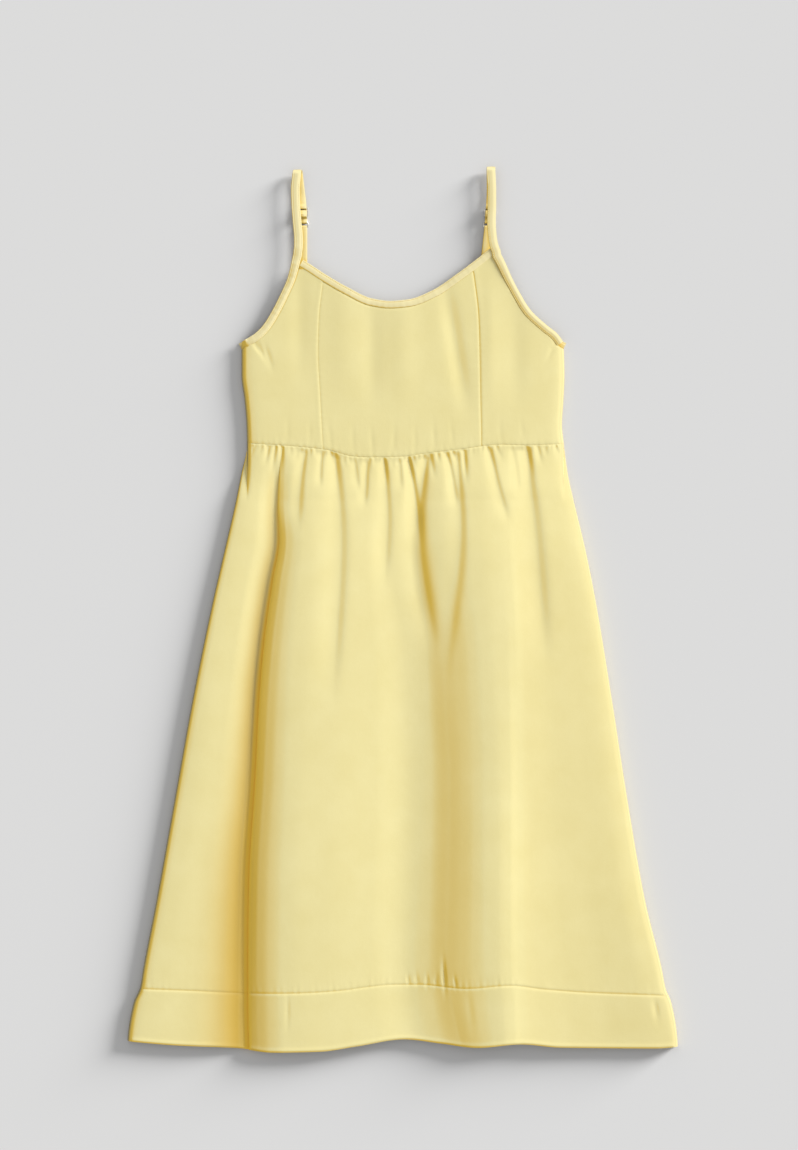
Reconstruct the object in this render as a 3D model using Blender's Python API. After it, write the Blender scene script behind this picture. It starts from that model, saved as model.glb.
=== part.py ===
"""Midi-length strap dress laid flat on its back panels, straps toward +Y, front up."""
import bpy
import numpy as np
from mathutils import Vector

# Pattern grid: one grid step is GRID metres, x to the right, y down from the straps
GRID = 0.40 / 322.0
GRID_X = 402.5
GRID_Y = 609.4

# Cloth sizes in metres
WALL = 0.0012
SEAM_GAP = 0.0003
EDGE_HEIGHT = 0.0021
BINDING_WIDTH = 7.3
BINDING_WALL = 0.0016
BINDING_LIFT = 0.0005
PANEL_INSET = 0.36
STRAP_WIDTH = 8.5
STRAP_WALL = 0.0010
STRAP_TOP_HEIGHT = 0.0096
STRAP_BACK_HEIGHT = 0.0036
FOLD_DEPTH = 0.0056

# Strap hardware in millimetres, measured from the slider's centre down the strap
SLIDER_Y = 212.0
SLIDER_HEIGHT = 3.4
SLIDER_SIZE = (14.0, 11.4, 1.0)
SLIDER_BAR = 1.0
RING_OFFSET = 16.0
RING_HEIGHT = 2.1
RING_RADIUS = 6.5
RING_WIRE = 0.7

# Mesh steps of the skirt between its main fold lines, and of its rows below the waist
SKIRT_COLUMNS = (11, 8, 33, 17, 14)
SKIRT_ROWS = (0.0, 0.004, 0.01, 0.019, 0.031, 0.046, 0.064, 0.086, 0.112, 0.145, 0.185, 0.23,
              0.29, 0.36, 0.44, 0.53, 0.62, 0.71, 0.80, 0.87, 0.93, 0.97, 1.0)
BAND_ROWS = (0.0, 0.2, 0.5, 0.8, 1.0)

# Side edges of the laid dress: y, left x, right x
OUTLINE = (
    (342, 242.0, 563.0), (375, 242.0, 564.0), (400, 245.0, 563.0), (425, 247.0, 561.5),
    (445, 247.5, 563.5), (475, 241.5, 567.5), (500, 236.5, 573.0), (550, 225.0, 585.0),
    (600, 213.5, 595.0), (700, 193.0, 611.5), (800, 175.0, 627.0), (900, 157.0, 644.5),
    (970, 143.5, 661.5), (988, 140.5, 665.0), (1002, 134.5, 670.5), (1036, 128.5, 676.5),
    (1052, 127.5, 677.5),
)

# Armhole edges from the underarm up to the strap: y, left x, right x
ARMHOLE = (
    (342, 242.0, 563.0), (334, 255.0, 557.0), (326, 263.0, 547.0), (310, 273.0, 530.0),
    (294, 281.0, 520.0), (278, 288.0, 511.5), (262, 292.3, 504.0), (254, 294.0, 500.0),
)

# Neckline edge, waist seam, band seam and hem: x, y
NECKLINE = (
    (299, 258.0), (312, 266.0), (324, 274.0), (348, 288.0), (372, 299.0), (390, 301.5),
    (408, 300.0), (432, 291.0), (456, 275.0), (480, 257.0), (492, 247.5),
)
WAIST = (
    (247, 443.0), (280, 445.0), (329, 450.0), (352, 456.0), (368, 457.0), (400, 456.5),
    (424, 453.5), (461, 449.0), (500, 444.5), (527, 445.0), (566, 443.5),
)
BAND_SEAM = (
    (140, 988.0), (192, 989.8), (255, 992.5), (294, 992.1), (340, 989.5), (366, 986.0),
    (392, 983.6), (419, 983.6), (465, 987.2), (510, 984.0), (543, 987.9), (586, 991.3),
    (666, 994.5),
)
HEM = (
    (127, 1040.0), (176, 1044.0), (236, 1047.0), (272, 1051.0), (320, 1050.0), (356, 1045.0),
    (404, 1038.0), (440, 1042.0), (476, 1046.0), (520, 1042.5), (560, 1046.0), (656, 1047.0),
    (678, 1045.5),
)
BACK_TOP = (
    (242, 350.5), (262, 341.0), (284, 328.0), (303, 321.0), (345, 323.0), (402, 324.0),
    (460, 323.0), (478, 321.0), (515, 328.0), (543, 341.0), (564, 350.5),
)

# Seams between the front's centre and side pieces: y, left x, right x
PRINCESS = (
    (255, 326.0, 470.0), (283, 323.0, 474.5), (317, 319.0, 478.3), (351, 318.0, 479.3),
    (392, 320.0, 480.0), (447, 323.0, 481.0), (465, 324.0, 481.0),
)

# Bodice height across the chest: share of the width, height in millimetres
CHEST = ((0.0, 2.1), (0.008, 5.2), (0.02, 7.0), (0.06, 8.0), (0.2, 8.5), (0.5, 8.8), (0.8, 8.6),
         (0.95, 8.1), (0.983, 7.2), (0.994, 5.2), (1.0, 2.1))

# Bodice shaping: centre x, centre y, half width, half length, height in millimetres
BODICE_FORM = (
    (345, 330, 16, 70, 1.2), (372, 350, 9, 60, -0.9), (403, 340, 13, 70, 1.0),
    (455, 350, 9, 60, -1.6), (490, 345, 9, 70, 1.0), (300, 320, 9, 60, -1.0),
    (515, 350, 10, 60, -0.8),
)

# Main fold lines down the skirt: y, overlap fold, centre rise, right crease
FOLD_LINES = (
    (440, 283, 430, 503), (475, 280, 433, 505), (505, 279, 430, 507), (540, 281, 424, 509),
    (580, 275, 427, 512), (640, 267, 441, 515), (700, 262, 446, 516), (780, 258, 450, 517),
    (880, 252, 449, 517), (960, 251, 447, 518), (1000, 251, 452, 520), (1055, 252, 464, 521),
)

# Half width of the overlap fold and the reach of its roll, in grid steps: y, half, roll
OVERLAP = ((445, 4.0, 0.6), (480, 4.5, 1.9), (520, 5.0, 2.9), (600, 6.0, 4.2), (700, 6.0, 4.8),
           (1055, 6.0, 4.8))

# Skirt heights in millimetres. Each zone's first row gives the share of the zone's width
ZONE_LEFT = {
    "share": (0.0, 0.03, 0.07, 0.15, 0.3, 0.55, 0.8, 1.0),
    500: (2.1, 5.2, 6.6, 7.4, 7.8, 7.7, 6.6, 5.0),
    560: (2.1, 5.4, 6.8, 7.6, 8.0, 7.9, 6.0, 3.8),
    650: (2.1, 5.6, 7.0, 7.8, 8.2, 8.0, 6.2, 3.6),
    760: (2.1, 5.8, 7.2, 8.0, 8.4, 8.2, 6.4, 3.6),
    880: (2.1, 5.8, 7.4, 8.2, 8.6, 8.4, 6.6, 3.6),
    1050: (2.1, 6.0, 7.6, 8.4, 8.8, 8.8, 7.0, 3.8),
}
ZONE_FRONT = {
    "share": (0.0, 0.06, 0.13, 0.22, 0.35, 0.6, 0.78, 0.9, 1.0),
    500: (8.4, 9.4, 9.9, 10.2, 10.3, 10.1, 9.9, 10.0, 10.4),
    560: (10.8, 11.9, 12.5, 12.7, 12.6, 11.8, 10.8, 10.8, 12.0),
    650: (11.6, 13.1, 13.8, 14.0, 13.8, 12.6, 11.2, 11.6, 13.3),
    760: (11.8, 13.6, 14.5, 14.8, 14.6, 13.1, 11.4, 12.2, 14.4),
    880: (12.0, 13.9, 15.0, 15.4, 15.2, 13.6, 11.8, 12.8, 15.2),
    1050: (11.4, 13.4, 14.5, 14.8, 14.6, 13.2, 11.6, 12.6, 14.8),
}
ZONE_CREST = {
    "share": (0.0, 0.18, 0.36, 0.54, 0.72, 0.88, 1.0),
    500: (10.4, 11.0, 11.6, 12.0, 12.2, 12.2, 12.0),
    560: (12.0, 13.2, 14.4, 15.2, 15.5, 15.3, 15.0),
    650: (13.3, 14.7, 16.1, 16.9, 17.2, 17.1, 16.7),
    760: (14.4, 16.1, 17.4, 18.2, 18.5, 18.2, 17.5),
    880: (15.2, 17.0, 18.5, 19.3, 19.5, 19.0, 18.1),
    1050: (14.8, 16.4, 17.7, 18.5, 18.8, 18.5, 17.8),
}
ZONE_RIGHT = {
    "share": (0.0, 0.12, 0.35, 0.6, 0.8, 0.93, 0.975, 0.992, 1.0),
    500: (12.0, 11.8, 11.4, 11.0, 10.6, 10.0, 9.2, 7.0, 2.1),
    560: (15.0, 14.5, 13.9, 13.4, 12.9, 12.2, 11.2, 8.6, 2.1),
    650: (16.7, 15.9, 14.9, 14.4, 14.0, 13.4, 12.6, 10.0, 2.1),
    760: (17.5, 16.6, 15.4, 14.9, 14.6, 13.9, 13.0, 10.4, 2.1),
    880: (18.1, 16.7, 15.2, 14.6, 14.5, 13.8, 12.9, 10.4, 2.1),
    1050: (17.8, 16.0, 13.9, 12.8, 12.6, 12.2, 11.5, 9.2, 2.1),
}

# Gathers under the waist seam: x at the seam, x and y half way, x and y at the end,
# depth in millimetres, half width in grid steps
GATHERS = (
    (306, 301, 480, 297, 525, 1.2, 5.0), (322, 321, 466, 320, 486, 0.7, 3.2),
    (336, 340, 540, 332, 690, 2.0, 7.0), (354, 356, 470, 358, 490, 0.6, 3.4),
    (367, 366, 484, 364, 505, 0.9, 3.6), (385, 390, 515, 386, 580, 1.5, 5.0),
    (399, 400, 470, 401, 490, 0.6, 3.4), (411, 418, 490, 423, 540, 1.4, 4.2),
    (431, 427, 530, 438, 640, 2.6, 7.0), (447, 452, 478, 456, 505, 0.9, 3.8),
    (464, 465, 530, 451, 665, 2.2, 5.6), (489, 498, 488, 507, 520, 0.9, 4.4),
    (512, 516, 472, 518, 492, 0.5, 3.8), (533, 542, 525, 552, 650, 1.8, 8.0),
)

# Centre lines of the straps over the front: y, left x, right x, height in millimetres
STRAP_FRONT = (
    (262, 296.6, 499.6, 10.9), (254, 298.4, 496.2, 10.8), (241, 298.8, 492.6, 10.3),
    (222, 297.3, 491.2, 9.8), (206, 296.1, 491.6, 9.6), (190, 295.6, 491.6, 9.6),
    (176, 297.0, 490.8, 9.6),
)
STRAP_BACK = (
    (170, 298.0, 490.8), (190, 300.4, 491.0), (206, 302.2, 490.2), (214, 302.7, 489.5),
    (225, 302.8, 488.8), (254, 302.9, 485.6), (330, 303.2, 478.0),
)
FOLD_Y = {"left": 175.2, "right": 172.2}
BACK_STRAP_END = 327.0

# Cloth and metal finishes: red, green, blue, roughness, metallic
CREPE = (0.84, 0.74, 0.36, 0.82, 0.0)
CREPE_EDGE = (0.86, 0.75, 0.40, 0.80, 0.0)
HARDWARE = (0.80, 0.78, 0.72, 0.30, 0.9)


def clear_scene():
    for item in list(bpy.data.objects):
        bpy.data.objects.remove(item, do_unlink=True)


def curve(knots, values, at):
    """Smooth monotone curve through a table, held level past its ends."""
    knots = np.asarray(knots, float)
    values = np.asarray(values, float)
    if knots[0] > knots[-1]:
        knots = knots[::-1]
        values = values[::-1]
    at = np.clip(np.asarray(at, float), knots[0], knots[-1])
    step = np.diff(knots)
    slope = np.diff(values) / step
    tangent = np.zeros_like(values)
    same = slope[:-1] * slope[1:] > 0
    w1 = 2 * step[1:] + step[:-1]
    w2 = step[1:] + 2 * step[:-1]
    safe = np.where(same, slope[:-1] * slope[1:], 1.0)
    mean = (w1 + w2) * safe / (w1 * slope[1:] + w2 * slope[:-1] + np.where(same, 0.0, 1e9))
    tangent[1:-1] = np.where(same, mean, 0.0)
    tangent[0] = slope[0]
    tangent[-1] = slope[-1]
    low = np.clip(np.searchsorted(knots, at, side="right") - 1, 0, len(step) - 1)
    gap = step[low]
    t = (at - knots[low]) / gap
    a = (1 + 2 * t) * (1 - t) ** 2
    b = t * (1 - t) ** 2
    c = t * t * (3 - 2 * t)
    d = t * t * (t - 1)
    return a * values[low] + b * gap * tangent[low] + c * values[low + 1] + d * gap * tangent[low + 1]


def column(table, index):
    return [row[index] for row in table]


def side_edge(y, side):
    return curve(column(OUTLINE, 0), column(OUTLINE, 1 if side == "left" else 2), y)


def along(table, x):
    return curve(column(table, 0), column(table, 1), x)


def ease(t):
    t = np.clip(t, 0.0, 1.0)
    return t * t * (3 - 2 * t)


def place(x, y, z):
    """Grid position and height in millimetres to metres."""
    x, y, z = np.broadcast_arrays(np.asarray(x, float), np.asarray(y, float), np.asarray(z, float))
    return np.stack([(x - GRID_X) * GRID, (GRID_Y - y) * GRID, z * 0.001], axis=-1)


def chest_height(x, y):
    """Height of the front of the bodice, and of every front piece at the waist seam."""
    share = (x - side_edge(np.maximum(y, 342), "left"))
    share = share / (side_edge(np.maximum(y, 342), "right") - side_edge(np.maximum(y, 342), "left"))
    height = curve(column(CHEST, 0), column(CHEST, 1), share)
    for cx, cy, half, length, rise in BODICE_FORM:
        spread = np.exp(-((x - cx) / half) ** 2)
        height = height + rise * spread * ease(1.25 - np.abs(y - cy) / length)
    return height + 0.4 * ease((342 - y) / 90.0) * ease(share / 0.1) * ease((1 - share) / 0.1)


def zone_height(zone, y, share):
    rows = [key for key in zone if key != "share"]
    lines = [curve(rows, [zone[row][i] for row in rows], y) for i in range(len(zone["share"]))]
    stack = np.stack(lines, axis=-1)
    shape = np.broadcast(y, share).shape
    stack = np.broadcast_to(stack, shape + (stack.shape[-1],)).reshape(-1, stack.shape[-1])
    flat = np.broadcast_to(share, shape).reshape(-1)
    out = [float(curve(zone["share"], line, s)) for line, s in zip(stack, flat)]
    return np.array(out).reshape(shape)


def gather_height(x, y, seam):
    """Troughs that start at the waist seam, steeper on their right side."""
    total = np.zeros(np.broadcast(x, y).shape)
    for x0, x1, y1, x2, y2, depth, half in GATHERS:
        centre = curve((seam_y(x0), y1, y2), (x0, x1, x2), y)
        off = x - centre
        width = np.where(off < 0, half * 1.5, half * 0.8) * (0.75 + 0.5 * ease((y - 450) / 90.0))
        start = ease((y - seam) / 9.0)
        end = 1 - ease((y - (y1 + y2) * 0.5) / ((y2 - y1) * 0.7))
        total = total - depth * np.exp(-(off / width) ** 2) * start * end
    return total


def seam_y(x):
    return along(WAIST, x)


def skirt_columns():
    """Zone number and share of the zone for each column, closer together at the side edges."""
    cells = []
    for zone, count in enumerate(SKIRT_COLUMNS):
        first = 0 if zone == 0 else 1
        for i in range(first, count + 1):
            share = i / count
            if zone == 0:
                share = share * (0.35 + 0.65 * share)
            if zone == 4:
                share = 1 - (1 - share) * (0.35 + 0.65 * (1 - share))
            cells.append((zone, share))
    return cells


def skirt_surface(rows_y):
    """Mid surface of the skirt front for a grid of y values, one row of them per mesh row."""
    cells = skirt_columns()
    points = np.zeros(rows_y.shape + (3,))
    for j, (zone, share) in enumerate(cells):
        y = rows_y[:, j]
        left = side_edge(y, "left")
        right = side_edge(y, "right")
        over = curve(column(FOLD_LINES, 0), column(FOLD_LINES, 1), y)
        rise = curve(column(FOLD_LINES, 0), column(FOLD_LINES, 2), y)
        crease = curve(column(FOLD_LINES, 0), column(FOLD_LINES, 3), y)
        half = curve(column(OVERLAP, 0), column(OVERLAP, 1), y)
        roll = curve(column(OVERLAP, 0), column(OVERLAP, 2), y)
        if zone == 0:
            x = left + (over - half - left) * share
            z = zone_height(ZONE_LEFT, y, share)
        elif zone == 1:
            t = share * 2 - 1
            x = over + half * t - roll * np.sin(np.pi * t)
            low = zone_height(ZONE_LEFT, y, 1.0)
            high = zone_height(ZONE_FRONT, y, 0.0)
            z = low + (high - low) * share ** 1.7
        elif zone == 2:
            x = over + half + (rise - over - half) * share
            z = zone_height(ZONE_FRONT, y, share)
        elif zone == 3:
            x = rise + (crease - rise) * share
            z = zone_height(ZONE_CREST, y, share)
        else:
            x = crease + (right - crease) * share
            z = zone_height(ZONE_RIGHT, y, share)
        seam = seam_y(x)
        start = ease((y - seam) / 60.0)
        edges = ease((x - left) / 8.0) * ease((right - x) / 8.0)
        top = chest_height(x, seam)
        z = top + (z - top) * start + gather_height(x, y, seam) * edges
        points[:, j] = place(x, y, np.maximum(z, EDGE_HEIGHT * 1000))
    return points


def seam_row(table, guess, shift):
    """Row of y values at which the skirt's columns cross a seam, moved by a shift."""
    y = np.full((1, len(skirt_columns())), guess)
    for _ in range(4):
        x = skirt_surface(y)[..., 0] / GRID + GRID_X
        y = along(table, x) + shift
    return y


def skirt_rows(kind):
    half_gap = SEAM_GAP / GRID / 2
    if kind == "skirt":
        top = seam_row(WAIST, 450.0, half_gap)
        bottom = seam_row(BAND_SEAM, 988.0, -half_gap)
        return top + (bottom - top) * np.array(SKIRT_ROWS)[:, None]
    top = seam_row(BAND_SEAM, 988.0, half_gap)
    bottom = seam_row(HEM, 1044.0, 0.0)
    return top + (bottom - top) * np.array(BAND_ROWS)[:, None]


def sheet_normals(points):
    """Upward normals of a sheet; along its edges the rim is kept square to the sheet."""
    across = np.gradient(points, axis=1)
    down = np.gradient(points, axis=0)
    across[:, 0, 2] = 0
    across[:, -1, 2] = 0
    down[0, :, 2] = 0
    down[-1, :, 2] = 0
    normal = np.cross(down, across)
    return normal / np.linalg.norm(normal, axis=2, keepdims=True)


def add_body(name, top, bottom, finish):
    """Closed body between two grids of points, the first one being its outer face."""
    rows, cols = top.shape[:2]
    verts = np.concatenate([top.reshape(-1, 3), bottom.reshape(-1, 3)])
    lower = rows * cols
    faces = []
    for i in range(rows - 1):
        for j in range(cols - 1):
            a = i * cols + j
            b = a + 1
            c = a + cols
            d = c + 1
            faces.append((a, c, d, b))
            faces.append((lower + a, lower + b, lower + d, lower + c))
    for j in range(cols - 1):
        a = (rows - 1) * cols + j
        faces.append((j, j + 1, lower + j + 1, lower + j))
        faces.append((a + 1, a, lower + a, lower + a + 1))
    for i in range(rows - 1):
        a = i * cols
        b = a + cols - 1
        faces.append((a + cols, a, lower + a, lower + a + cols))
        faces.append((b, b + cols, lower + b + cols, lower + b))
    return add_object(name, verts, faces, finish)


def add_object(name, verts, faces, finish):
    mesh = bpy.data.meshes.new(name)
    mesh.from_pydata([Vector(v) for v in verts], [], faces)
    mesh.validate()
    mesh.update()
    mesh.materials.append(make_material(name, finish))
    item = bpy.data.objects.new(name, mesh)
    bpy.context.scene.collection.objects.link(item)
    return item


def make_material(name, finish):
    red, green, blue, roughness, metallic = finish
    material = bpy.data.materials.new(name)
    material.use_nodes = True
    shader = material.node_tree.nodes["Principled BSDF"]
    shader.inputs["Base Color"].default_value = (red, green, blue, 1.0)
    shader.inputs["Roughness"].default_value = roughness
    shader.inputs["Metallic"].default_value = metallic
    return material


def add_sheet(name, points, wall, finish):
    """Cloth of even wall about a mid surface given row by row from its top edge."""
    normal = sheet_normals(points)
    return add_body(name, points + normal * wall / 2, points - normal * wall / 2, finish)


def add_ribbon(name, centre, across, width, wall, finish):
    """Cloth tape along a path; across is its width direction at each point."""
    ahead = np.gradient(centre, axis=0)
    ahead = ahead / np.linalg.norm(ahead, axis=1, keepdims=True)
    up = np.cross(across, ahead)
    up = up / np.linalg.norm(up, axis=1, keepdims=True)
    width = np.broadcast_to(width, (len(centre),))[:, None]
    wall = np.broadcast_to(wall, (len(centre),))[:, None]
    lines = [centre + across * width * share for share in (0.5, 0.0, -0.5)]
    grid = np.stack(lines, axis=1)
    lift = (up * wall / 2)[:, None, :]
    return add_body(name, grid + lift, grid - lift, finish)


def offset_line(points, distance):
    """Grid line moved sideways; a positive distance moves it to the right of its course."""
    ahead = np.gradient(points, axis=0)
    ahead = ahead / np.linalg.norm(ahead, axis=1, keepdims=True)
    side = np.stack([-ahead[:, 1], ahead[:, 0]], axis=1)
    return points + side * distance


def armhole_line(side, distance, steps=24):
    """Armhole edge from the underarm to the strap, moved in by a distance."""
    index = 1 if side == "left" else 2
    y = 342 - (342 - 254) * np.linspace(0, 1, steps)
    x = curve(column(ARMHOLE, 0), column(ARMHOLE, index), y)
    line = np.stack([x, y], axis=1)
    return offset_line(line, distance if side == "left" else -distance)


def neck_line(distance, first=299.0, last=492.0, steps=32):
    x = np.linspace(first, last, steps)
    line = np.stack([x, along(NECKLINE, x)], axis=1)
    return offset_line(line, distance)


def princess(y, side):
    return curve(column(PRINCESS, 0), column(PRINCESS, 1 if side == "left" else 2), y)


def build_bodice_centre():
    inset = neck_line(BINDING_WIDTH + PANEL_INSET, steps=64)
    half_gap = SEAM_GAP / GRID / 2
    shares = np.linspace(0, 1, 17)
    rows = np.linspace(0, 1, 12)[:, None]
    y = 300 + (450 - 300) * rows + shares * 0
    for _ in range(5):
        left = princess(y, "left") + half_gap
        right = princess(y, "right") - half_gap
        x = left + (right - left) * shares
        top = curve(inset[:, 0], inset[:, 1], x)
        bottom = seam_y(x) - half_gap
        y = top + (bottom - top) * rows
    add_sheet("bodice_front_centre", place(x, y, chest_height(x, y)), WALL, CREPE)


def build_bodice_side(side):
    half_gap = SEAM_GAP / GRID / 2
    sign = 1 if side == "left" else -1
    arm = armhole_line(side, BINDING_WIDTH + PANEL_INSET + 0.1, 40)
    edge = side_edge(350.0, side)
    under = arm[0][1] + abs(arm[0][0] - edge) * 0.6
    arm = np.concatenate([[(edge, under)], arm])
    neck = neck_line(BINDING_WIDTH + PANEL_INSET, steps=64)
    neck = neck[:20] if side == "left" else neck[-20:]
    first = 271.0 if side == "left" else 263.0
    rows = np.concatenate([np.linspace(0, 0.46, 11), np.linspace(0.5, 1.0, 5)])[:, None]
    shares = np.linspace(0, 1, 8)
    y = first + (445 - first) * rows + shares * 0
    for _ in range(4):
        outer = np.where(y < under, curve(arm[:, 1], arm[:, 0], y), side_edge(y, side))
        inner = princess(y, side) - half_gap * sign
        on_neck = curve(neck[:, 1], neck[:, 0], y)
        inner = np.where(y < neck[:, 1].max(), sign * np.minimum(sign * inner, sign * on_neck), inner)
        x = outer + (inner - outer) * shares
        y = first + (seam_y(x) - half_gap - first) * rows
    if side == "right":
        x = x[:, ::-1]
        y = y[:, ::-1]
    add_sheet("bodice_front_side_" + side, place(x, y, chest_height(x, y)), WALL, CREPE)


def build_neck_binding():
    line = neck_line(BINDING_WIDTH / 2, steps=30)
    inner = (line[:, 0] > 301.0) & (line[:, 0] < 493.5)
    line = line[inner]
    centre = place(line[:, 0], line[:, 1], chest_height(line[:, 0], line[:, 1]))
    across = cross_direction(centre)
    add_ribbon("neck_binding_front", centre, across, BINDING_WIDTH * GRID, BINDING_WALL, CREPE_EDGE)


def cross_direction(centre):
    """Level direction square to a path, to the right of its course."""
    ahead = np.gradient(centre, axis=0)
    ahead[:, 2] = 0
    ahead = ahead / np.linalg.norm(ahead, axis=1, keepdims=True)
    return np.stack([ahead[:, 1], -ahead[:, 0], np.zeros(len(ahead))], axis=1)


def build_back_binding():
    x = np.linspace(242.0, 563.0, 25)
    gap = SEAM_GAP / GRID
    edge = np.stack([x, along(BACK_TOP, x)], axis=1)
    line = offset_line(edge, -(BINDING_WIDTH / 2 + gap / 2))
    centre = place(line[:, 0], line[:, 1], np.full(len(x), WALL * 500))
    add_ribbon("back_binding", centre, cross_direction(centre), BINDING_WIDTH * GRID, WALL, CREPE_EDGE)


def rounded_path(corners, steps):
    """Path in strap distance and height with a rounded bend at each inner corner."""
    out = [np.array(corners[0][:2], float)]
    for before, here, after in zip(corners, corners[1:], corners[2:]):
        point = np.array(here[:2], float)
        back = np.array(before[:2], float) - point
        ahead = np.array(after[:2], float) - point
        back_length = np.linalg.norm(back)
        ahead_length = np.linalg.norm(ahead)
        back = back / back_length
        ahead = ahead / ahead_length
        angle = np.arccos(np.clip(back @ ahead, -1, 1))
        reach = min(here[2] / np.tan(angle / 2), back_length * 0.48, ahead_length * 0.48)
        start = point + back * reach
        end = point + ahead * reach
        for t in np.linspace(0, 1, steps):
            out.append(start * (1 - t) ** 2 + point * 2 * t * (1 - t) + end * t * t)
    out.append(np.array(corners[-1][:2], float))
    return np.array(out)


def arc(centre, radius, start, end, steps):
    angles = np.radians(np.linspace(start, end, steps))
    return np.stack([centre[0] + radius * np.cos(angles), centre[1] + radius * np.sin(angles)], axis=1)


def threaded_path():
    """Strap's back run as distance down from the slider and height.

    It lies over both ends of the slider and dips under its middle bar, turns round the ring
    and comes back on top to end in a loop round the middle bar.
    """
    wall = STRAP_WALL * 1000
    wrap = SLIDER_BAR / 2 + 0.5 + wall / 2
    over = SLIDER_HEIGHT + SLIDER_SIZE[2] / 2 + 0.35 + wall / 2
    deep = SLIDER_HEIGHT - wrap - wall - 0.3
    loop = RING_WIRE + 0.3 + wall / 2
    top = over + wall + 0.35
    turn = RING_OFFSET - 2.9
    run = rounded_path((
        (-9.5, 3.6, 0), (-6.6, over, 1.5), (-3.35, over + 0.1, 0.9), (-3.35, deep, 0.9),
        (3.35, deep, 0.9), (3.35, over + 0.1, 0.9), (5.9, over, 0.8), (8.6, RING_HEIGHT - loop, 1.0),
        (turn - 0.4, RING_HEIGHT - loop, 0),
    ), 4)
    bend = arc((turn, RING_HEIGHT), loop, -90, 90, 9)
    touch = np.radians(109.0)
    tail = rounded_path((
        (turn - 1.0, RING_HEIGHT + loop, 0), (8.9, RING_HEIGHT + loop, 1.0), (6.2, top, 1.0),
        (3.2, top, 1.5), (wrap * np.cos(touch) + 0.2, SLIDER_HEIGHT + wrap * np.sin(touch) + 0.07, 0),
    ), 3)
    end = arc((0.0, SLIDER_HEIGHT), wrap, 109, 330, 12)
    return np.concatenate([run, bend, tail, end])


def strap_wall(count, first, last, share):
    return first + (last - first) * ease(np.linspace(0, 1, count) / share)


def build_strap(side):
    """One tape: armhole edge, over the shoulder, down to the ring and back to the slider."""
    index = 1 if side == "left" else 2
    arm = armhole_line(side, BINDING_WIDTH / 2 + 0.1, 18)[:-1]
    arm_z = chest_height(arm[:, 0], arm[:, 1]) + BINDING_LIFT * 1000
    arm_z = arm_z + 1.6 * ease((290 - arm[:, 1]) / 28.0)
    front_y = np.array([250.0, 241.0, 231.0, 220.0, 208.0, 196.0, 186.0])
    front_x = curve(column(STRAP_FRONT, 0), column(STRAP_FRONT, index), front_y)
    front_z = curve(column(STRAP_FRONT, 0), column(STRAP_FRONT, 3), front_y)
    x = np.concatenate([arm[:, 0], front_x])
    y = np.concatenate([arm[:, 1], front_y])
    z = np.concatenate([arm_z, front_z])
    front = place(x, y, z)
    across = cross_direction(front)
    across[-1] = (1, 0, 0)

    centre_z = (STRAP_TOP_HEIGHT + STRAP_BACK_HEIGHT) / 2
    reach_z = (STRAP_TOP_HEIGHT - STRAP_BACK_HEIGHT) / 2
    fold_y = (GRID_Y - FOLD_Y[side]) * GRID
    fold = []
    for angle in np.radians(np.linspace(90, -90, 11)):
        top = (angle + np.pi / 2) / np.pi
        grid_y = FOLD_Y[side] - FOLD_DEPTH / GRID * np.cos(angle)
        front_at = curve(column(STRAP_FRONT, 0), column(STRAP_FRONT, index), 176)
        back_at = curve(column(STRAP_BACK, 0), column(STRAP_BACK, index), 176)
        at_x = back_at + (front_at - back_at) * top
        height = centre_z + reach_z * np.sin(angle)
        fold.append(((at_x - GRID_X) * GRID, fold_y + FOLD_DEPTH * np.cos(angle), height))
    fold = np.array(fold)

    run = threaded_path()
    first = (SLIDER_Y - FOLD_Y[side]) * GRID * 1000
    lead = np.array([(-first * 0.72, 3.4), (-first * 0.45, 3.0)])
    run = np.concatenate([lead, run])
    run_y = SLIDER_Y + run[:, 0] * 0.001 / GRID
    run_x = curve(column(STRAP_BACK, 0), column(STRAP_BACK, index), run_y)
    back = place(run_x, run_y, run[:, 1])

    centre = np.concatenate([front, fold, back])
    level = np.tile((1.0, 0.0, 0.0), (len(fold) + len(back), 1))
    across = np.concatenate([across, level])
    share = np.clip((front[:, 1] - (GRID_Y - 285) * GRID) / 0.035, 0, 1)
    width = BINDING_WIDTH + (STRAP_WIDTH - BINDING_WIDTH) * share
    width = np.concatenate([width, np.full(len(fold) + len(back), STRAP_WIDTH)]) * GRID
    wall = BINDING_WALL + (STRAP_WALL - BINDING_WALL) * share
    wall = np.concatenate([wall, np.full(len(fold) + len(back), STRAP_WALL)])
    add_ribbon("strap_" + side, centre, across, width, wall, CREPE_EDGE)


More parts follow.
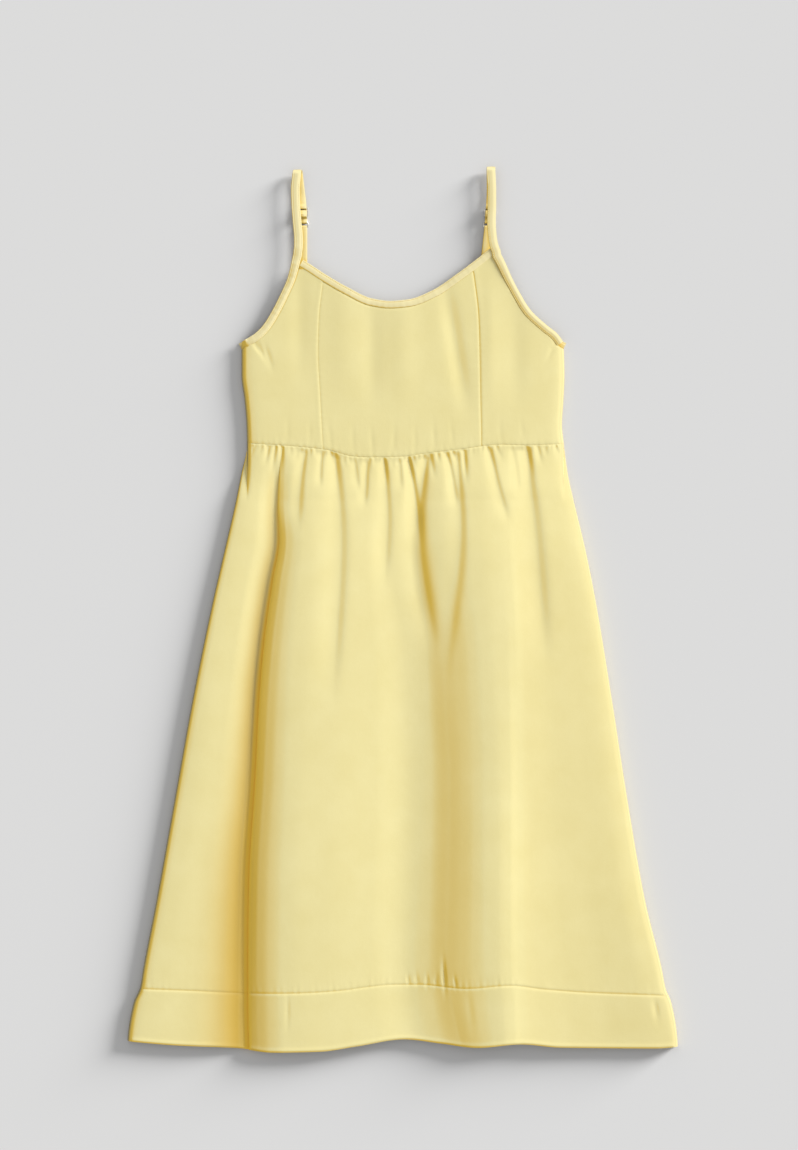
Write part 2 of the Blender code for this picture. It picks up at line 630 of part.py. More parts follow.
def build_back_strap(side):
    """Short tape from the ring to the top edge of the back, doubled round the ring."""
    index = 1 if side == "left" else 2
    loop = RING_WIRE + 0.3 + STRAP_WALL * 500
    turn = RING_OFFSET + 2.9
    end = (BACK_STRAP_END - SLIDER_Y) * GRID * 1000
    reach = RING_OFFSET + RING_RADIUS + 3.0
    low = WALL * 1000 + 0.3 + STRAP_WALL * 500
    high = low + STRAP_WALL * 1000 + 0.35
    middle = (end - 30.0 + reach) / 2
    lower = rounded_path(((end, low, 0), (end - 17.0, low, 5.0), (end - 30.0, low - 0.5, 5.0),
                          (middle, 0.9, 5.0), (reach, RING_HEIGHT - loop, 3.0),
                          (turn + 0.4, RING_HEIGHT - loop, 0)), 3)
    bend = arc((turn, RING_HEIGHT), loop, -90, -270, 9)
    upper = rounded_path(((turn + 0.4, RING_HEIGHT + loop, 0), (reach, RING_HEIGHT + loop, 3.0),
                          (middle, 2.6, 5.0), (end - 30.0, high - 0.3, 5.0),
                          (end - 17.0, high, 5.0), (end, high, 0)), 3)
    run = np.concatenate([lower, bend, upper])
    run_y = SLIDER_Y + run[:, 0] * 0.001 / GRID
    run_x = curve(column(STRAP_BACK, 0), column(STRAP_BACK, index), run_y)
    centre = place(run_x, run_y, run[:, 1])
    across = np.tile((1.0, 0.0, 0.0), (len(centre), 1))
    add_ribbon("back_strap_" + side, centre, across, STRAP_WIDTH * GRID, STRAP_WALL, CREPE_EDGE)


def build_slider(side):
    """Flat frame with two slots and a middle bar."""
    index = 1 if side == "left" else 2
    centre = place(curve(column(STRAP_BACK, 0), column(STRAP_BACK, index), SLIDER_Y),
                   SLIDER_Y, SLIDER_HEIGHT)
    half_x = SLIDER_SIZE[0] / 2
    half_y = SLIDER_SIZE[1] / 2
    half_z = SLIDER_SIZE[2] / 2
    bar = SLIDER_BAR
    xs = (-half_x, -half_x + bar, half_x - bar, half_x)
    ys = (-half_y, -half_y + bar, -bar / 2, bar / 2, half_y - bar, half_y)
    solid = {(i, j) for i in range(3) for j in range(5)} - {(1, 1), (1, 3)}
    index_of = {}
    verts = []
    faces = []

    def corner(i, j, k):
        key = (i, j, k)
        if key not in index_of:
            index_of[key] = len(verts)
            offset = np.array((xs[i], ys[j], (-half_z, half_z)[k])) * 0.001
            verts.append(tuple(centre + offset))
        return index_of[key]

    for i, j in sorted(solid):
        faces.append((corner(i, j, 1), corner(i + 1, j, 1), corner(i + 1, j + 1, 1), corner(i, j + 1, 1)))
        faces.append((corner(i, j, 0), corner(i, j + 1, 0), corner(i + 1, j + 1, 0), corner(i + 1, j, 0)))
        sides = (
            ((i, j - 1), (i, j), (i + 1, j)), ((i + 1, j), (i + 1, j), (i + 1, j + 1)),
            ((i, j + 1), (i + 1, j + 1), (i, j + 1)), ((i - 1, j), (i, j + 1), (i, j)),
        )
        for neighbour, a, b in sides:
            if neighbour not in solid:
                faces.append((corner(*a, 0), corner(*b, 0), corner(*b, 1), corner(*a, 1)))
    add_object("slider_" + side, verts, faces, HARDWARE)


def build_ring(side):
    """Round wire ring between the strap and the short back strap."""
    index = 1 if side == "left" else 2
    ring_y = SLIDER_Y + RING_OFFSET * 0.001 / GRID
    centre = place(curve(column(STRAP_BACK, 0), column(STRAP_BACK, index), ring_y),
                   ring_y, RING_HEIGHT)
    around, section = 28, 6
    verts = []
    faces = []
    for i in range(around):
        turn = 2 * np.pi * i / around
        for j in range(section):
            roll = 2 * np.pi * (j + 0.5) / section
            reach = (RING_RADIUS + RING_WIRE * np.cos(roll)) * 0.001
            height = RING_WIRE * np.sin(roll) * 0.001
            verts.append(tuple(centre + np.array((reach * np.cos(turn), reach * np.sin(turn), height))))
    for i in range(around):
        for j in range(section):
            a = i * section + j
            b = i * section + (j + 1) % section
            c = ((i + 1) % around) * section + j
            d = ((i + 1) % around) * section + (j + 1) % section
            faces.append((a, c, d, b))
    add_object("ring_" + side, verts, faces, HARDWARE)


def build_skirt_front():
    add_sheet("skirt_front", skirt_surface(skirt_rows("skirt")), WALL, CREPE)
    add_sheet("hem_band_front", skirt_surface(skirt_rows("band")), WALL, CREPE)


def flat_panel(name, top, bottom, columns, rows):
    """Back panel lying flat on the floor between two seam lines."""
    shares = np.linspace(0, 1, columns)
    steps = np.linspace(0, 1, rows)[:, None]
    y = np.full((rows, columns), 700.0)
    for _ in range(5):
        left = side_edge(y, "left")
        right = side_edge(y, "right")
        x = left + (right - left) * shares
        y = top(x) + (bottom(x) - top(x)) * steps
    add_sheet(name, place(x, y, np.full(x.shape, WALL * 500)), WALL, CREPE)


def back_waist(x):
    return 443.4 + 0 * x


def back_band_seam(x):
    return 988.0 + (x - 140.0) * 6.5 / 526.0


def build_backs():
    half_gap = SEAM_GAP / GRID / 2
    flat_panel("bodice_back", lambda x: along(BACK_TOP, x) + half_gap,
               lambda x: back_waist(x) - half_gap, 25, 5)
    flat_panel("skirt_back", lambda x: back_waist(x) + half_gap,
               lambda x: back_band_seam(x) - half_gap, 3, 14)
    flat_panel("hem_band_back", lambda x: back_band_seam(x) + half_gap,
               lambda x: along(HEM, x), 17, 3)


def main():
    clear_scene()
    build_bodice_centre()
    build_bodice_side("left")
    build_bodice_side("right")
    build_neck_binding()
    build_back_binding()
    build_backs()
    build_skirt_front()
    for side in ("left", "right"):
        build_strap(side)
        build_back_strap(side)
        build_slider(side)
        build_ring(side)


main()
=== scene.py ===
"""Dress laid flat: cloth surfaces, bindings, straps, hardware, stitching, floor, light and camera."""
import math
import bpy
import numpy as np
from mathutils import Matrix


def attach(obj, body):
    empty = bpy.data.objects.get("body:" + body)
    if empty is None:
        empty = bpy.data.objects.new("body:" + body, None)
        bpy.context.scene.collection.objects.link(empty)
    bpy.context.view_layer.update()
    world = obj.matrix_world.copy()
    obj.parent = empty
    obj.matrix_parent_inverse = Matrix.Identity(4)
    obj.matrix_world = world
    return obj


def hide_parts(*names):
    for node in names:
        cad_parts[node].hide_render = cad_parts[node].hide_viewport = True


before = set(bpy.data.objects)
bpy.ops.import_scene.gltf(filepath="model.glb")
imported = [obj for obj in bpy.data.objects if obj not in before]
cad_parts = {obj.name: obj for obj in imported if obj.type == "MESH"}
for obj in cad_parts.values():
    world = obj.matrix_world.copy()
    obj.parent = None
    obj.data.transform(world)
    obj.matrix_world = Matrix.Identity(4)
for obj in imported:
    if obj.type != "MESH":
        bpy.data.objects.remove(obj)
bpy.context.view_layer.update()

# Pattern grid, as in the part: one step is GRID metres, y runs down from the straps
GRID = 0.40 / 322.0
GRID_X = 402.5
GRID_Y = 609.4

# Cloth sizes in metres, widths in grid steps
WALL = 0.0010
BAND_WALL = 0.0013
BACK_WALL = 0.0011
BINDING_WIDTH = 7.5
BINDING_WALL = 0.0015
BACK_BINDING_WALL = 0.0014
BINDING_LIFT = 0.2
STRAP_WIDTH = 8.7
STRAP_WALL = 0.0010
STRAP_TOP_HEIGHT = 0.0096
STRAP_BACK_HEIGHT = 0.0036
FOLD_DEPTH = 0.0056

# Gaps beside cross seams and princess seams, and cloth edges under a binding, in grid steps
SEAM_GAP = 0.05
PRINCESS_GAP = 0.02
EDGE_INSET = BINDING_WIDTH - 0.8

# Stitched groove and raised middle of a tape, as shares of its thickness
GROOVE = 0.16
RIDGE = 0.2

# Stitches in metres: pitch, length and radius of the thread
STITCH = (0.0026, 0.0019, 0.00010)

# Strap hardware in millimetres, from the slider's centre down the strap
SLIDER_Y = 212.0
SLIDER_HEIGHT = 3.4
SLIDER_SIZE = (14.0, 11.4, 1.0)
SLIDER_BAR = 1.0
RING_OFFSET = 16.0
RING_HEIGHT = 2.1
RING_RADIUS = 6.5
RING_WIRE = 0.7

# Mesh steps of the skirt between its fold lines
SKIRT_COLUMNS = (46, 30, 118, 58, 50)

# Column of each side in the tables that have a left x and a right x
SIDE_COLUMN = {"left": 1, "right": 2}

# Levels on the grid: top of the armhole, underarm, middle of the waist seam, band seam and hem
ARMHOLE_TOP_Y = 254.0
UNDERARM_Y = 342.0
WAIST_Y = 450.0
BAND_Y = 988.0
HEM_Y = 1044.0

# Back seams: waist level, band seam's level at its left end and its slope
BACK_WAIST_Y = 443.4
BACK_BAND_X = 140.0
BACK_BAND_SLOPE = 6.5 / 526.0

# Side edges of the laid dress: y, left x, right x
OUTLINE = (
    (342, 242, 563), (375, 242, 564), (400, 245, 563), (425, 247, 561.5), (445, 247.5, 563.5),
    (475, 241.5, 567.5), (500, 236.5, 573), (550, 225, 585), (600, 213.5, 595), (700, 193, 611.5),
    (800, 175, 627), (900, 157, 644.5), (970, 143.5, 661.5), (988, 140.5, 665), (1002, 134.5, 670.5),
    (1036, 128.5, 676.5), (1052, 127.5, 677.5),
)

# Armhole edges from the underarm up to the strap: y, left x, right x
ARMHOLE = (
    (342, 242, 563), (334, 255, 557), (326, 263, 547), (310, 273, 530), (294, 281, 520),
    (278, 288, 511.5), (262, 292.3, 504), (254, 294, 500),
)

# Ends of the neckline that is built, x
NECK_ENDS = (299, 497)

# Neckline edge, waist seam, band seam, hem and top of the back: x, y
NECKLINE = (
    (299, 258), (312, 266), (324, 274), (348, 288), (372, 299), (390, 301.5), (408, 300), (432, 291),
    (456, 275), (480, 257), (492, 247.5), (498, 242.8),
)
WAIST = (
    (247, 443), (280, 445), (329, 450), (352, 456), (368, 457), (400, 456.5), (424, 453.5), (461, 449),
    (500, 444.5), (527, 445), (566, 443.5),
)
BAND_SEAM = (
    (140, 988), (192, 989.8), (255, 992.5), (294, 992.1), (340, 989.5), (366, 986), (392, 983.6),
    (419, 983.6), (465, 987.2), (510, 984), (543, 987.9), (586, 991.3), (666, 994.5),
)
HEM = (
    (127, 1040), (176, 1044), (236, 1047), (272, 1051), (320, 1050), (356, 1045), (404, 1038),
    (440, 1042), (476, 1046), (520, 1042.5), (560, 1046), (656, 1047), (678, 1045.5),
)
BACK_TOP = (
    (242, 350.5), (262, 341), (284, 328), (303, 321), (345, 323), (402, 324), (460, 323), (478, 321),
    (515, 328), (543, 341), (564, 350.5),
)

# Seams between the front's centre and side pieces: y, left x, right x
PRINCESS = (
    (255, 326, 470), (283, 323, 474.5), (317, 319, 478.3), (351, 318, 479.3), (392, 320, 480),
    (447, 323, 481), (465, 324, 481),
)

# Bodice height across the chest: share of the width, height in millimetres
CHEST = ((0, 2.1), (0.004, 6), (0.014, 7.6), (0.06, 8.2), (0.2, 8.5), (0.5, 8.8), (0.8, 8.6),
         (0.95, 8.1), (0.988, 7.5), (0.997, 5.8), (1, 2.1))

# Bodice shaping: centre x, centre y, half width, half length, lean, height in millimetres
BODICE_FORM = (
    (345, 330, 16, 70, 0, 0.5), (372, 350, 9, 60, 0, -0.4), (403, 340, 13, 70, 0, 0.4),
    (455, 345, 8, 66, -0.16, -0.8), (490, 345, 9, 70, 0, 0.4), (300, 320, 9, 60, 0, -0.4),
    (515, 350, 10, 60, 0, -0.4),
)

# Main fold lines down the skirt: y, overlap fold, centre rise, right crease
FOLD_LINES = (
    (440, 283, 430, 503), (475, 280, 433, 505), (505, 279, 430, 507), (540, 281, 424, 509),
    (580, 275, 427, 512), (640, 267, 441, 515), (700, 262, 446, 516), (780, 258, 450, 517),
    (880, 252, 449, 517), (960, 251, 447, 518), (1000, 251, 452, 520), (1055, 252, 464, 521),
)

# Reach of the painted shade in the hollow beside the overlap fold: y, grid steps
HOLLOW_REACH = ((455, 5), (560, 10), (640, 13), (720, 17), (800, 22), (880, 29), (1050, 38))

# Half width of the overlap fold and the reach of its roll, in grid steps: y, half, roll
OVERLAP = ((445, 4, 0.6), (480, 4.5, 1.9), (520, 5, 2.9), (600, 6, 4.2), (700, 6, 4.8),
           (1055, 6, 4.8))

# Skirt heights in millimetres. Each zone's first row gives the share of the zone's width
ZONE_LEFT = {
    "share": (0, 0.014, 0.05, 0.15, 0.3, 0.55, 0.8, 1),
    500: (2.1, 6.4, 7.6, 8, 8.1, 7.9, 7, 5.6),
    560: (2.1, 6.8, 8, 8.4, 8.5, 8.3, 7, 4.9),
    650: (2.1, 7.2, 8.6, 9.1, 9.2, 9, 7.6, 4.9),
    760: (2.1, 7.6, 9.1, 9.7, 9.9, 9.6, 8.2, 5),
    880: (2.1, 7.8, 9.4, 9.9, 10.1, 9.8, 8.4, 5),
    1050: (2.1, 8, 9.5, 10, 10.2, 10, 8.5, 5),
}
ZONE_FRONT = {
    "share": (0, 0.06, 0.13, 0.22, 0.35, 0.6, 0.78, 0.9, 1),
    500: (8.4, 9.4, 9.9, 10.2, 10.3, 10.1, 9.9, 10, 10.4),
    560: (10.8, 11.9, 12.5, 12.7, 12.6, 11.8, 10.8, 10.8, 12),
    650: (11.6, 13.1, 13.8, 14, 13.8, 12.6, 11.2, 11.6, 13.3),
    760: (11.8, 13.6, 14.5, 14.8, 14.6, 13.1, 11.4, 12.2, 14.4),
    880: (12, 13.9, 15, 15.4, 15.2, 13.6, 11.8, 12.8, 15.2),
    1050: (10.2, 12, 12.9, 13, 12.6, 11.2, 9.6, 10.6, 12.6),
}
ZONE_CREST = {
    "share": (0, 0.18, 0.36, 0.54, 0.72, 0.88, 1),
    500: (10.4, 11, 11.6, 12, 12.2, 12.2, 12),
    560: (12, 13.2, 14.4, 15.2, 15.5, 15.3, 15),
    650: (13.3, 14.7, 16.1, 16.9, 17.2, 17.1, 16.7),
    760: (14.4, 16.1, 17.4, 18.2, 18.5, 18.2, 17.5),
    880: (15.2, 17, 18.5, 19.3, 19.5, 19, 18.1),
    1050: (12.6, 14.1, 15.2, 15.8, 16, 15.6, 14.9),
}
ZONE_RIGHT = {
    "share": (0, 0.12, 0.35, 0.6, 0.8, 0.93, 0.98, 0.994, 1),
    500: (12, 11.8, 11.4, 11, 10.6, 10, 9.2, 7, 2.1),
    560: (15, 14.5, 13.9, 13.4, 12.9, 12.2, 11.2, 8.6, 2.1),
    650: (16.7, 15.9, 14.9, 14.4, 14, 13.4, 12.6, 10, 2.1),
    760: (17.5, 16.6, 15.4, 14.9, 14.6, 13.9, 13, 10.4, 2.1),
    880: (18.1, 16.7, 15.2, 14.6, 14.5, 13.8, 12.9, 10.4, 2.1),
    1050: (14.9, 13.4, 11.6, 10.8, 10.8, 10.6, 10.2, 8.4, 2.1),
}

# Larger gathers: x at the seam, x and y half way, x and y at the end, depth mm, half width
GATHERS = (
    (306, 301, 480, 297, 525, 1.2, 5), (322, 321, 466, 320, 486, 0.7, 3.2),
    (336, 340, 540, 332, 690, 1.5, 7), (354, 356, 470, 358, 490, 0.6, 3.4),
    (367, 366, 484, 364, 505, 0.9, 3.6), (384, 387, 515, 384, 580, 1.1, 5),
    (399, 400, 470, 401, 490, 0.6, 3.4), (408, 414, 490, 420, 540, 1.6, 4.2),
    (427, 418, 525, 432, 640, 2.1, 6.6), (447, 452, 478, 456, 505, 0.9, 3.8),
    (457, 460, 530, 446, 665, 1.4, 5.6), (489, 498, 488, 507, 520, 0.9, 4.4),
    (512, 516, 472, 518, 492, 0.5, 3.8), (525, 533, 525, 543, 650, 1.7, 8),
)

# Fine creases close under the waist seam: x, lean, length, depth mm, half width
CREASES = (
    (250, -9, 34, 1.6, 2), (256, -6, 16, 0.8, 1.8), (263, -4, 12, 0.6, 1.8), (270, -5, 22, 1.7, 1.8),
    (276, -4, 30, 1.8, 1.8), (283, -3, 30, 2.2, 2), (291, 0, 12, 0.7, 1.8), (299, -4, 18, 1, 2),
    (311, -3, 14, 0.7, 2), (317, 0, 10, 0.5, 1.8), (323, -1, 14, 0.9, 1.8), (331, 2, 16, 1.1, 1.8),
    (335, 2, 40, 1, 1.9), (342, 3, 14, 0.9, 1.8), (348, 2, 10, 0.6, 1.8), (357, 1, 12, 0.6, 1.8),
    (370, -2, 18, 0.9, 1.8), (377, 0, 12, 0.6, 1.8), (384, 3, 30, 2, 1.8), (391, 2, 14, 0.8, 1.8),
    (398, 0, 10, 0.5, 1.8), (408, 5, 26, 2, 1.8), (413, 3, 16, 1.2, 1.8), (424, 0, 12, 0.6, 1.8),
    (430, 4, 26, 2, 2), (437, 3, 14, 0.9, 1.8), (445, 5, 18, 1.3, 1.8), (452, 5, 14, 0.8, 1.8),
    (464, 2, 36, 2.6, 1.9), (472, 0, 10, 0.4, 1.8), (487, 6, 24, 1.1, 2), (496, 6, 18, 0.8, 2),
    (527, 5, 34, 2, 2), (537, 4, 20, 1.5, 1.8), (543, 3, 12, 0.9, 1.8), (555, 5, 16, 0.8, 1.8),
)

# Small creases elsewhere on the skirt and band: x, y, half length, half width, lean, depth mm
NICKS = (
    (444, 975, 13, 1.4, 0.05, 1), (408, 979, 5, 1, 0, 0.4), (417, 979, 6, 1, 0.1, 0.5),
    (427, 980, 6, 1, 0, 0.5), (436, 980, 6, 1, -0.1, 0.5), (455, 981, 5, 1.2, 0.1, 0.5),
    (288, 1010, 16, 1.6, 0, 0.25), (655, 1008, 9, 2.4, 0.1, 0.45), (470, 1008, 16, 3.2, 0.1, 0.15),
)

# Small creases on the bodice: x, y, half length, half width, lean, depth mm
BODICE_CREASES = (
    (256, 346, 7, 1.6, 0.5, 0.5), (261, 350, 9, 1.8, 0.4, 0.35), (268, 356, 12, 3, 0.3, 0.3),
    (552, 350, 10, 2.4, -0.5, 0.3), (330, 436, 12, 2.2, 0.1, 0.12), (353, 440, 12, 2.4, 0, 0.12),
    (372, 442, 13, 2.2, 0.05, 0.14), (394, 440, 14, 2.4, -0.05, 0.14), (415, 440, 12, 2.2, 0, 0.12),
    (434, 438, 14, 2.2, 0.05, 0.14), (452, 436, 12, 2, 0.1, 0.1), (500, 432, 12, 2.4, 0, 0.1),
    (522, 432, 12, 2.2, 0.1, 0.1), (288, 432, 12, 2.4, 0, 0.1), (310, 434, 10, 2.2, 0, 0.1),
)

# Studio: floor in metres, even fill, the lamp's azimuth, elevation and spread in degrees, its strength
FLOOR_COLOUR = (0.68, 0.68, 0.68)
FLOOR_REACH = 6.0
FLOOR_LEVEL = -0.0002
FILL_STRENGTH = 0.526
LAMP = (32.0, 11.5, 22.0, 8.30)
CAMERA_PLACE = (-0.00435, 0.04273, 3.968)

# Cloths: light colour, dark colour, strength of the weave
CLOTHS = {
    "crepe_cloth": ((0.805, 0.72, 0.355), (0.766, 0.675, 0.312), 0.5),
    "crepe_edge_cloth": ((0.83, 0.735, 0.41), (0.79, 0.695, 0.37), 0.5),
    "sewing_thread": ((0.82, 0.74, 0.40), (0.75, 0.66, 0.32), 0.3),
}

# Painted light in the cloth's colour: the side away from the lamp, then the colours of painted shade,
# painted darkening and painted glow
SHADED_SIDE = (-0.85, -0.53, 0.0)
# Painted shade on slopes facing away from the lamp and in enclosed places
PAINTED_SHADE_COLOUR = (0.95, 0.655, 0.11)
# Painted shade in the fold hollows
PAINTED_FOLD_SHADE_COLOUR = (0.54, 0.33, 0.02)
# Painted darkening on steep edges and on slopes facing the lamp
PAINTED_EDGE_SHADE_COLOUR = (0.35, 0.295, 0.14)
# Painted glow of bounced light in the shadow under the overlap edge
PAINTED_GLOW_COLOUR = (1.0, 0.64, 0.055)

# Centre lines of the straps over the front: y, left x, right x, height in millimetres
STRAP_FRONT = (
    (262, 296.6, 499.6, 10.9), (254, 298.4, 496.2, 10.8), (241, 298.8, 492.6, 10.3),
    (222, 297.3, 491.2, 9.8), (206, 296.1, 491.6, 9.6), (190, 295.6, 491.6, 9.6), (176, 297, 490.8, 9.6),
)
STRAP_BACK = (
    (170, 298, 490.8), (190, 300.4, 491), (206, 302.2, 490.2), (214, 302.7, 489.5), (225, 302.8, 488.8),
    (254, 302.9, 485.6), (330, 303.2, 478),
)

# Level of each strap's fold at the top, of the cut through it, and of the short back strap's lower end
FOLD_Y = {"left": 175.2, "right": 172.2}
FOLD_CUT_Y = 176.0
BACK_STRAP_END = 327.0


def slopes(knots, values):
    """Tangents of a smooth monotone curve; values may hold many curves in their rows."""
    step = np.diff(knots)
    slope = np.diff(values, axis=-1) / step
    tangent = np.zeros_like(values)
    before, after = slope[..., :-1], slope[..., 1:]
    same = before * after > 0
    w1 = 2 * step[1:] + step[:-1]
    w2 = step[1:] + 2 * step[:-1]
    weight = w1 * after + w2 * before
    mean = (w1 + w2) * before * after / np.where(same, weight, 1.0)
    tangent[..., 1:-1] = np.where(same, mean, 0.0)
    tangent[..., 0] = slope[..., 0]
    tangent[..., -1] = slope[..., -1]
    return tangent


def hermite(t, gap, v0, v1, m0, m1):
    a = (1 + 2 * t) * (1 - t) ** 2
    b = t * (1 - t) ** 2
    c = t * t * (3 - 2 * t)
    d = t * t * (t - 1)
    return a * v0 + b * gap * m0 + c * v1 + d * gap * m1


def curve(knots, values, at):
    """Smooth monotone curve through a table, held level past its ends."""
    knots = np.asarray(knots, float)
    values = np.asarray(values, float)
    if knots[0] > knots[-1]:
        knots = knots[::-1]
        values = values[::-1]
    at = np.clip(np.asarray(at, float), knots[0], knots[-1])
    tangent = slopes(knots, values)
    low = np.clip(np.searchsorted(knots, at, side="right") - 1, 0, len(knots) - 2)
    gap = knots[low + 1] - knots[low]
    t = (at - knots[low]) / gap
    return hermite(t, gap, values[low], values[low + 1], tangent[low], tangent[low + 1])


def along(table, at, index=1):
    """Smooth curve through one column of a table, by its first column."""
    return curve([row[0] for row in table], [row[index] for row in table], at)


def side_edge(y, side):
    return along(OUTLINE, y, SIDE_COLUMN[side])


def side_edges(y):
    return side_edge(y, "left"), side_edge(y, "right")


def princess(y, side):
    return along(PRINCESS, y, SIDE_COLUMN[side])


def seam_y(x):
    return along(WAIST, x)


def fold_lines(y):
    """Overlap fold, centre rise and right crease of the skirt."""
    return [along(FOLD_LINES, y, index) for index in (1, 2, 3)]


def unit(vectors):
    return vectors / np.linalg.norm(vectors, axis=-1, keepdims=True)


def ease(t):
    t = np.clip(t, 0.0, 1.0)
    return t * t * (3 - 2 * t)


def bell(distance, reach):
    """Soft hump: 1 in its middle, faded out past its reach."""
    return np.exp(-(distance / reach) ** 2)


def place(x, y, z):
    """Points from grid places and heights in millimetres."""
    x, y, z = np.broadcast_arrays(np.asarray(x, float), np.asarray(y, float), np.asarray(z, float))
    return np.stack([(x - GRID_X) * GRID, (GRID_Y - y) * GRID, z * 0.001], axis=-1)


def ripple(p, seed):
    """Uneven small waves along a seam, from -1 to 1, by the place along it."""
    wave = np.sin(p * 1.07 + seed) + 0.8 * np.sin(p * 0.73 + 2.1 * seed + 0.6 * np.sin(p * 0.11))
    wave = wave + 0.6 * np.sin(p * 0.41 + 3.7 * seed) * np.sin(p * 1.63 + seed)
    return wave / 2.4


def chest_height(x, y):
    """Height of the bodice front, and of every front piece at the waist seam."""
    left, right = side_edges(np.maximum(y, UNDERARM_Y))
    share = (x - left) / (right - left)
    height = along(CHEST, share)
    for cx, cy, half, length, lean, rise in BODICE_FORM:
        spread = bell(x - cx - lean * (cy - y), half)
        height = height + rise * spread * ease(1.25 - np.abs(y - cy) / length)
    return height + 0.4 * ease((UNDERARM_Y - y) / 90.0) * ease(share / 0.1) * ease((1 - share) / 0.1)


def zone_height(zone, y, share):
    """Height of one skirt zone at a share of its width, for a column of y values."""
    knots = np.array(zone["share"])
    rows = [key for key in zone if key != "share"]
    lines = [curve(rows, [zone[row][i] for row in rows], y) for i in range(len(knots))]
    lines = np.stack(lines, axis=-1)
    tangent = slopes(knots, lines)
    low = int(np.clip(np.searchsorted(knots, share, side="right") - 1, 0, len(knots) - 2))
    gap = knots[low + 1] - knots[low]
    t = (share - knots[low]) / gap
    return hermite(t, gap, lines[..., low], lines[..., low + 1], tangent[..., low], tangent[..., low + 1])


def gather_height(x, y, seam):
    """Troughs that start at the waist seam, steeper on their right side."""
    total = np.zeros(np.broadcast(x, y).shape)
    below = y - seam
    for x0, x1, y1, x2, y2, depth, half in GATHERS:
        centre = curve((float(seam_y(x0)), y1, y2), (x0, x1, x2), y)
        off = x - centre
        width = np.where(off < 0, half * 1.7, half * 0.7) * (0.7 + 0.6 * ease((y - 450) / 90.0))
        start = ease(below / 7.0)
        end = 1 - ease((y - (y1 + y2) * 0.5) / ((y2 - y1) * 0.7))
        total = total - 0.7 * depth * bell(off, width) * start * end
    for x0, lean, length, depth, half in CREASES:
        centre = x0 + lean * below / length
        off = x - centre
        width = np.where(off < 0, half * 1.3, half * 0.8) * (1 + 0.8 * below / length)
        fade = ease(below / 3.0) * (1 - ease((below - length * 0.25) / (length * 0.9)))
        total = total - 0.4 * depth * np.exp(-(np.abs(off) / width) ** 1.6) * fade
    return total


def seam_height(x, y, seam):
    """Sunk waist and band seams with small ruffles beside them, and the rolled hem edge."""
    below = y - seam
    band = y - along(BAND_SEAM, x)
    hem = along(HEM, x) - y
    z = -0.35 * bell(below, 1.3)
    z = z + 0.2 * ripple(x * 1.2, 1.9) * bell(below, 6.0) * ease(below / 1.5)
    z = z - 0.3 * bell(band, 1.2)
    z = z + 0.09 * ripple(x, 0.4) * bell(band + 3.0, 5.0)
    return z + 0.35 * bell(hem - 1.6, 1.6) - 0.4 * bell(hem, 0.8)


def crease_height(table, x, y):
    """Small single creases, each a soft trough of its own length, width and lean."""
    total = np.zeros(np.broadcast(x, y).shape)
    for cx, cy, half_y, half_x, lean, depth in table:
        total = total - depth * bell(x - cx - lean * (y - cy), half_x) * bell(y - cy, half_y)
    return total


def skirt_columns():
    """Zone number and share of the zone for each column, closer together at the side edges."""
    cells = []
    for zone, count in enumerate(SKIRT_COLUMNS):
        first = 0 if zone == 0 else 1
        for i in range(first, count + 1):
            share = i / count
            if zone == 0:
                share = share * (0.35 + 0.65 * share)
            if zone == 4:
                share = 1 - (1 - share) * (0.35 + 0.65 * (1 - share))
            cells.append((zone, share))
    return cells


def skirt_surface(rows_y):
    """Mid surface of the skirt front for a grid of y values, one row of them per mesh row."""
    points = np.zeros(rows_y.shape + (3,))
    for j, (zone, share) in enumerate(skirt_columns()):
        y = rows_y[:, j]
        left, right = side_edges(y)
        over, rise, crease = fold_lines(y)
        half = along(OVERLAP, y, 1)
        roll = along(OVERLAP, y, 2)
        borders = {
            0: (left, over - half, ZONE_LEFT),
            2: (over + half, rise, ZONE_FRONT),
            3: (rise, crease, ZONE_CREST),
            4: (crease, right, ZONE_RIGHT),
        }
        if zone == 1:
            t = share * 2 - 1
            x = over + half * t - roll * np.sin(np.pi * t)
            low = zone_height(ZONE_LEFT, y, 1.0)
            high = zone_height(ZONE_FRONT, y, 0.0)
            z = low + (high - low) * share ** 1.7
        else:
            first, last, table = borders[zone]
            x = first + (last - first) * share
            z = zone_height(table, y, share)
        seam = seam_y(x)
        start = ease((y - seam) / 60.0)
        edges = ease((x - left) / 6.0) * ease((right - x) / 6.0)
        top = chest_height(x, seam)
        detail = gather_height(x, y, seam) + crease_height(NICKS, x, y) + seam_height(x, y, seam)
        z = top + (z - top) * start + detail * edges
        points[:, j] = place(x, y, np.maximum(z, 1.9))
    return points


def seam_row(table, guess, shift):
    """Level of a seam or of the hem at each skirt column, found in a few steps from a guess."""
    y = np.full((1, len(skirt_columns())), guess)
    for _ in range(4):
        x = skirt_surface(y)[..., 0] / GRID + GRID_X
        y = along(table, x) + shift
    return y


def sheet_normals(points):
    """Unit normals of a grid of points, facing up."""
    across = np.gradient(points, axis=1)
    down = np.gradient(points, axis=0)
    return unit(np.cross(down, across))


def grid_faces(rows, cols, lower):
    """Faces of a thin sheet: top, bottom and the four edges; lower is the bottom's first point."""
    i, j = np.meshgrid(np.arange(rows - 1), np.arange(cols - 1), indexing="ij")
    a = (i * cols + j).ravel()
    top = np.stack([a, a + cols, a + cols + 1, a + 1], axis=1)
    low = np.stack([a, a + 1, a + cols + 1, a + cols], axis=1) + lower
    j = np.arange(cols - 1)
    k = (rows - 1) * cols + j
    first = np.stack([j, j + 1, lower + j + 1, lower + j], axis=1)
    last = np.stack([k + 1, k, lower + k, lower + k + 1], axis=1)
    i = np.arange(rows - 1) * cols
    b = i + cols - 1
    left = np.stack([i + cols, i, lower + i, lower + i + cols], axis=1)
    right = np.stack([b, b + cols, lower + b + cols, lower + b], axis=1)
    return np.concatenate([top, low, first, last, left, right])


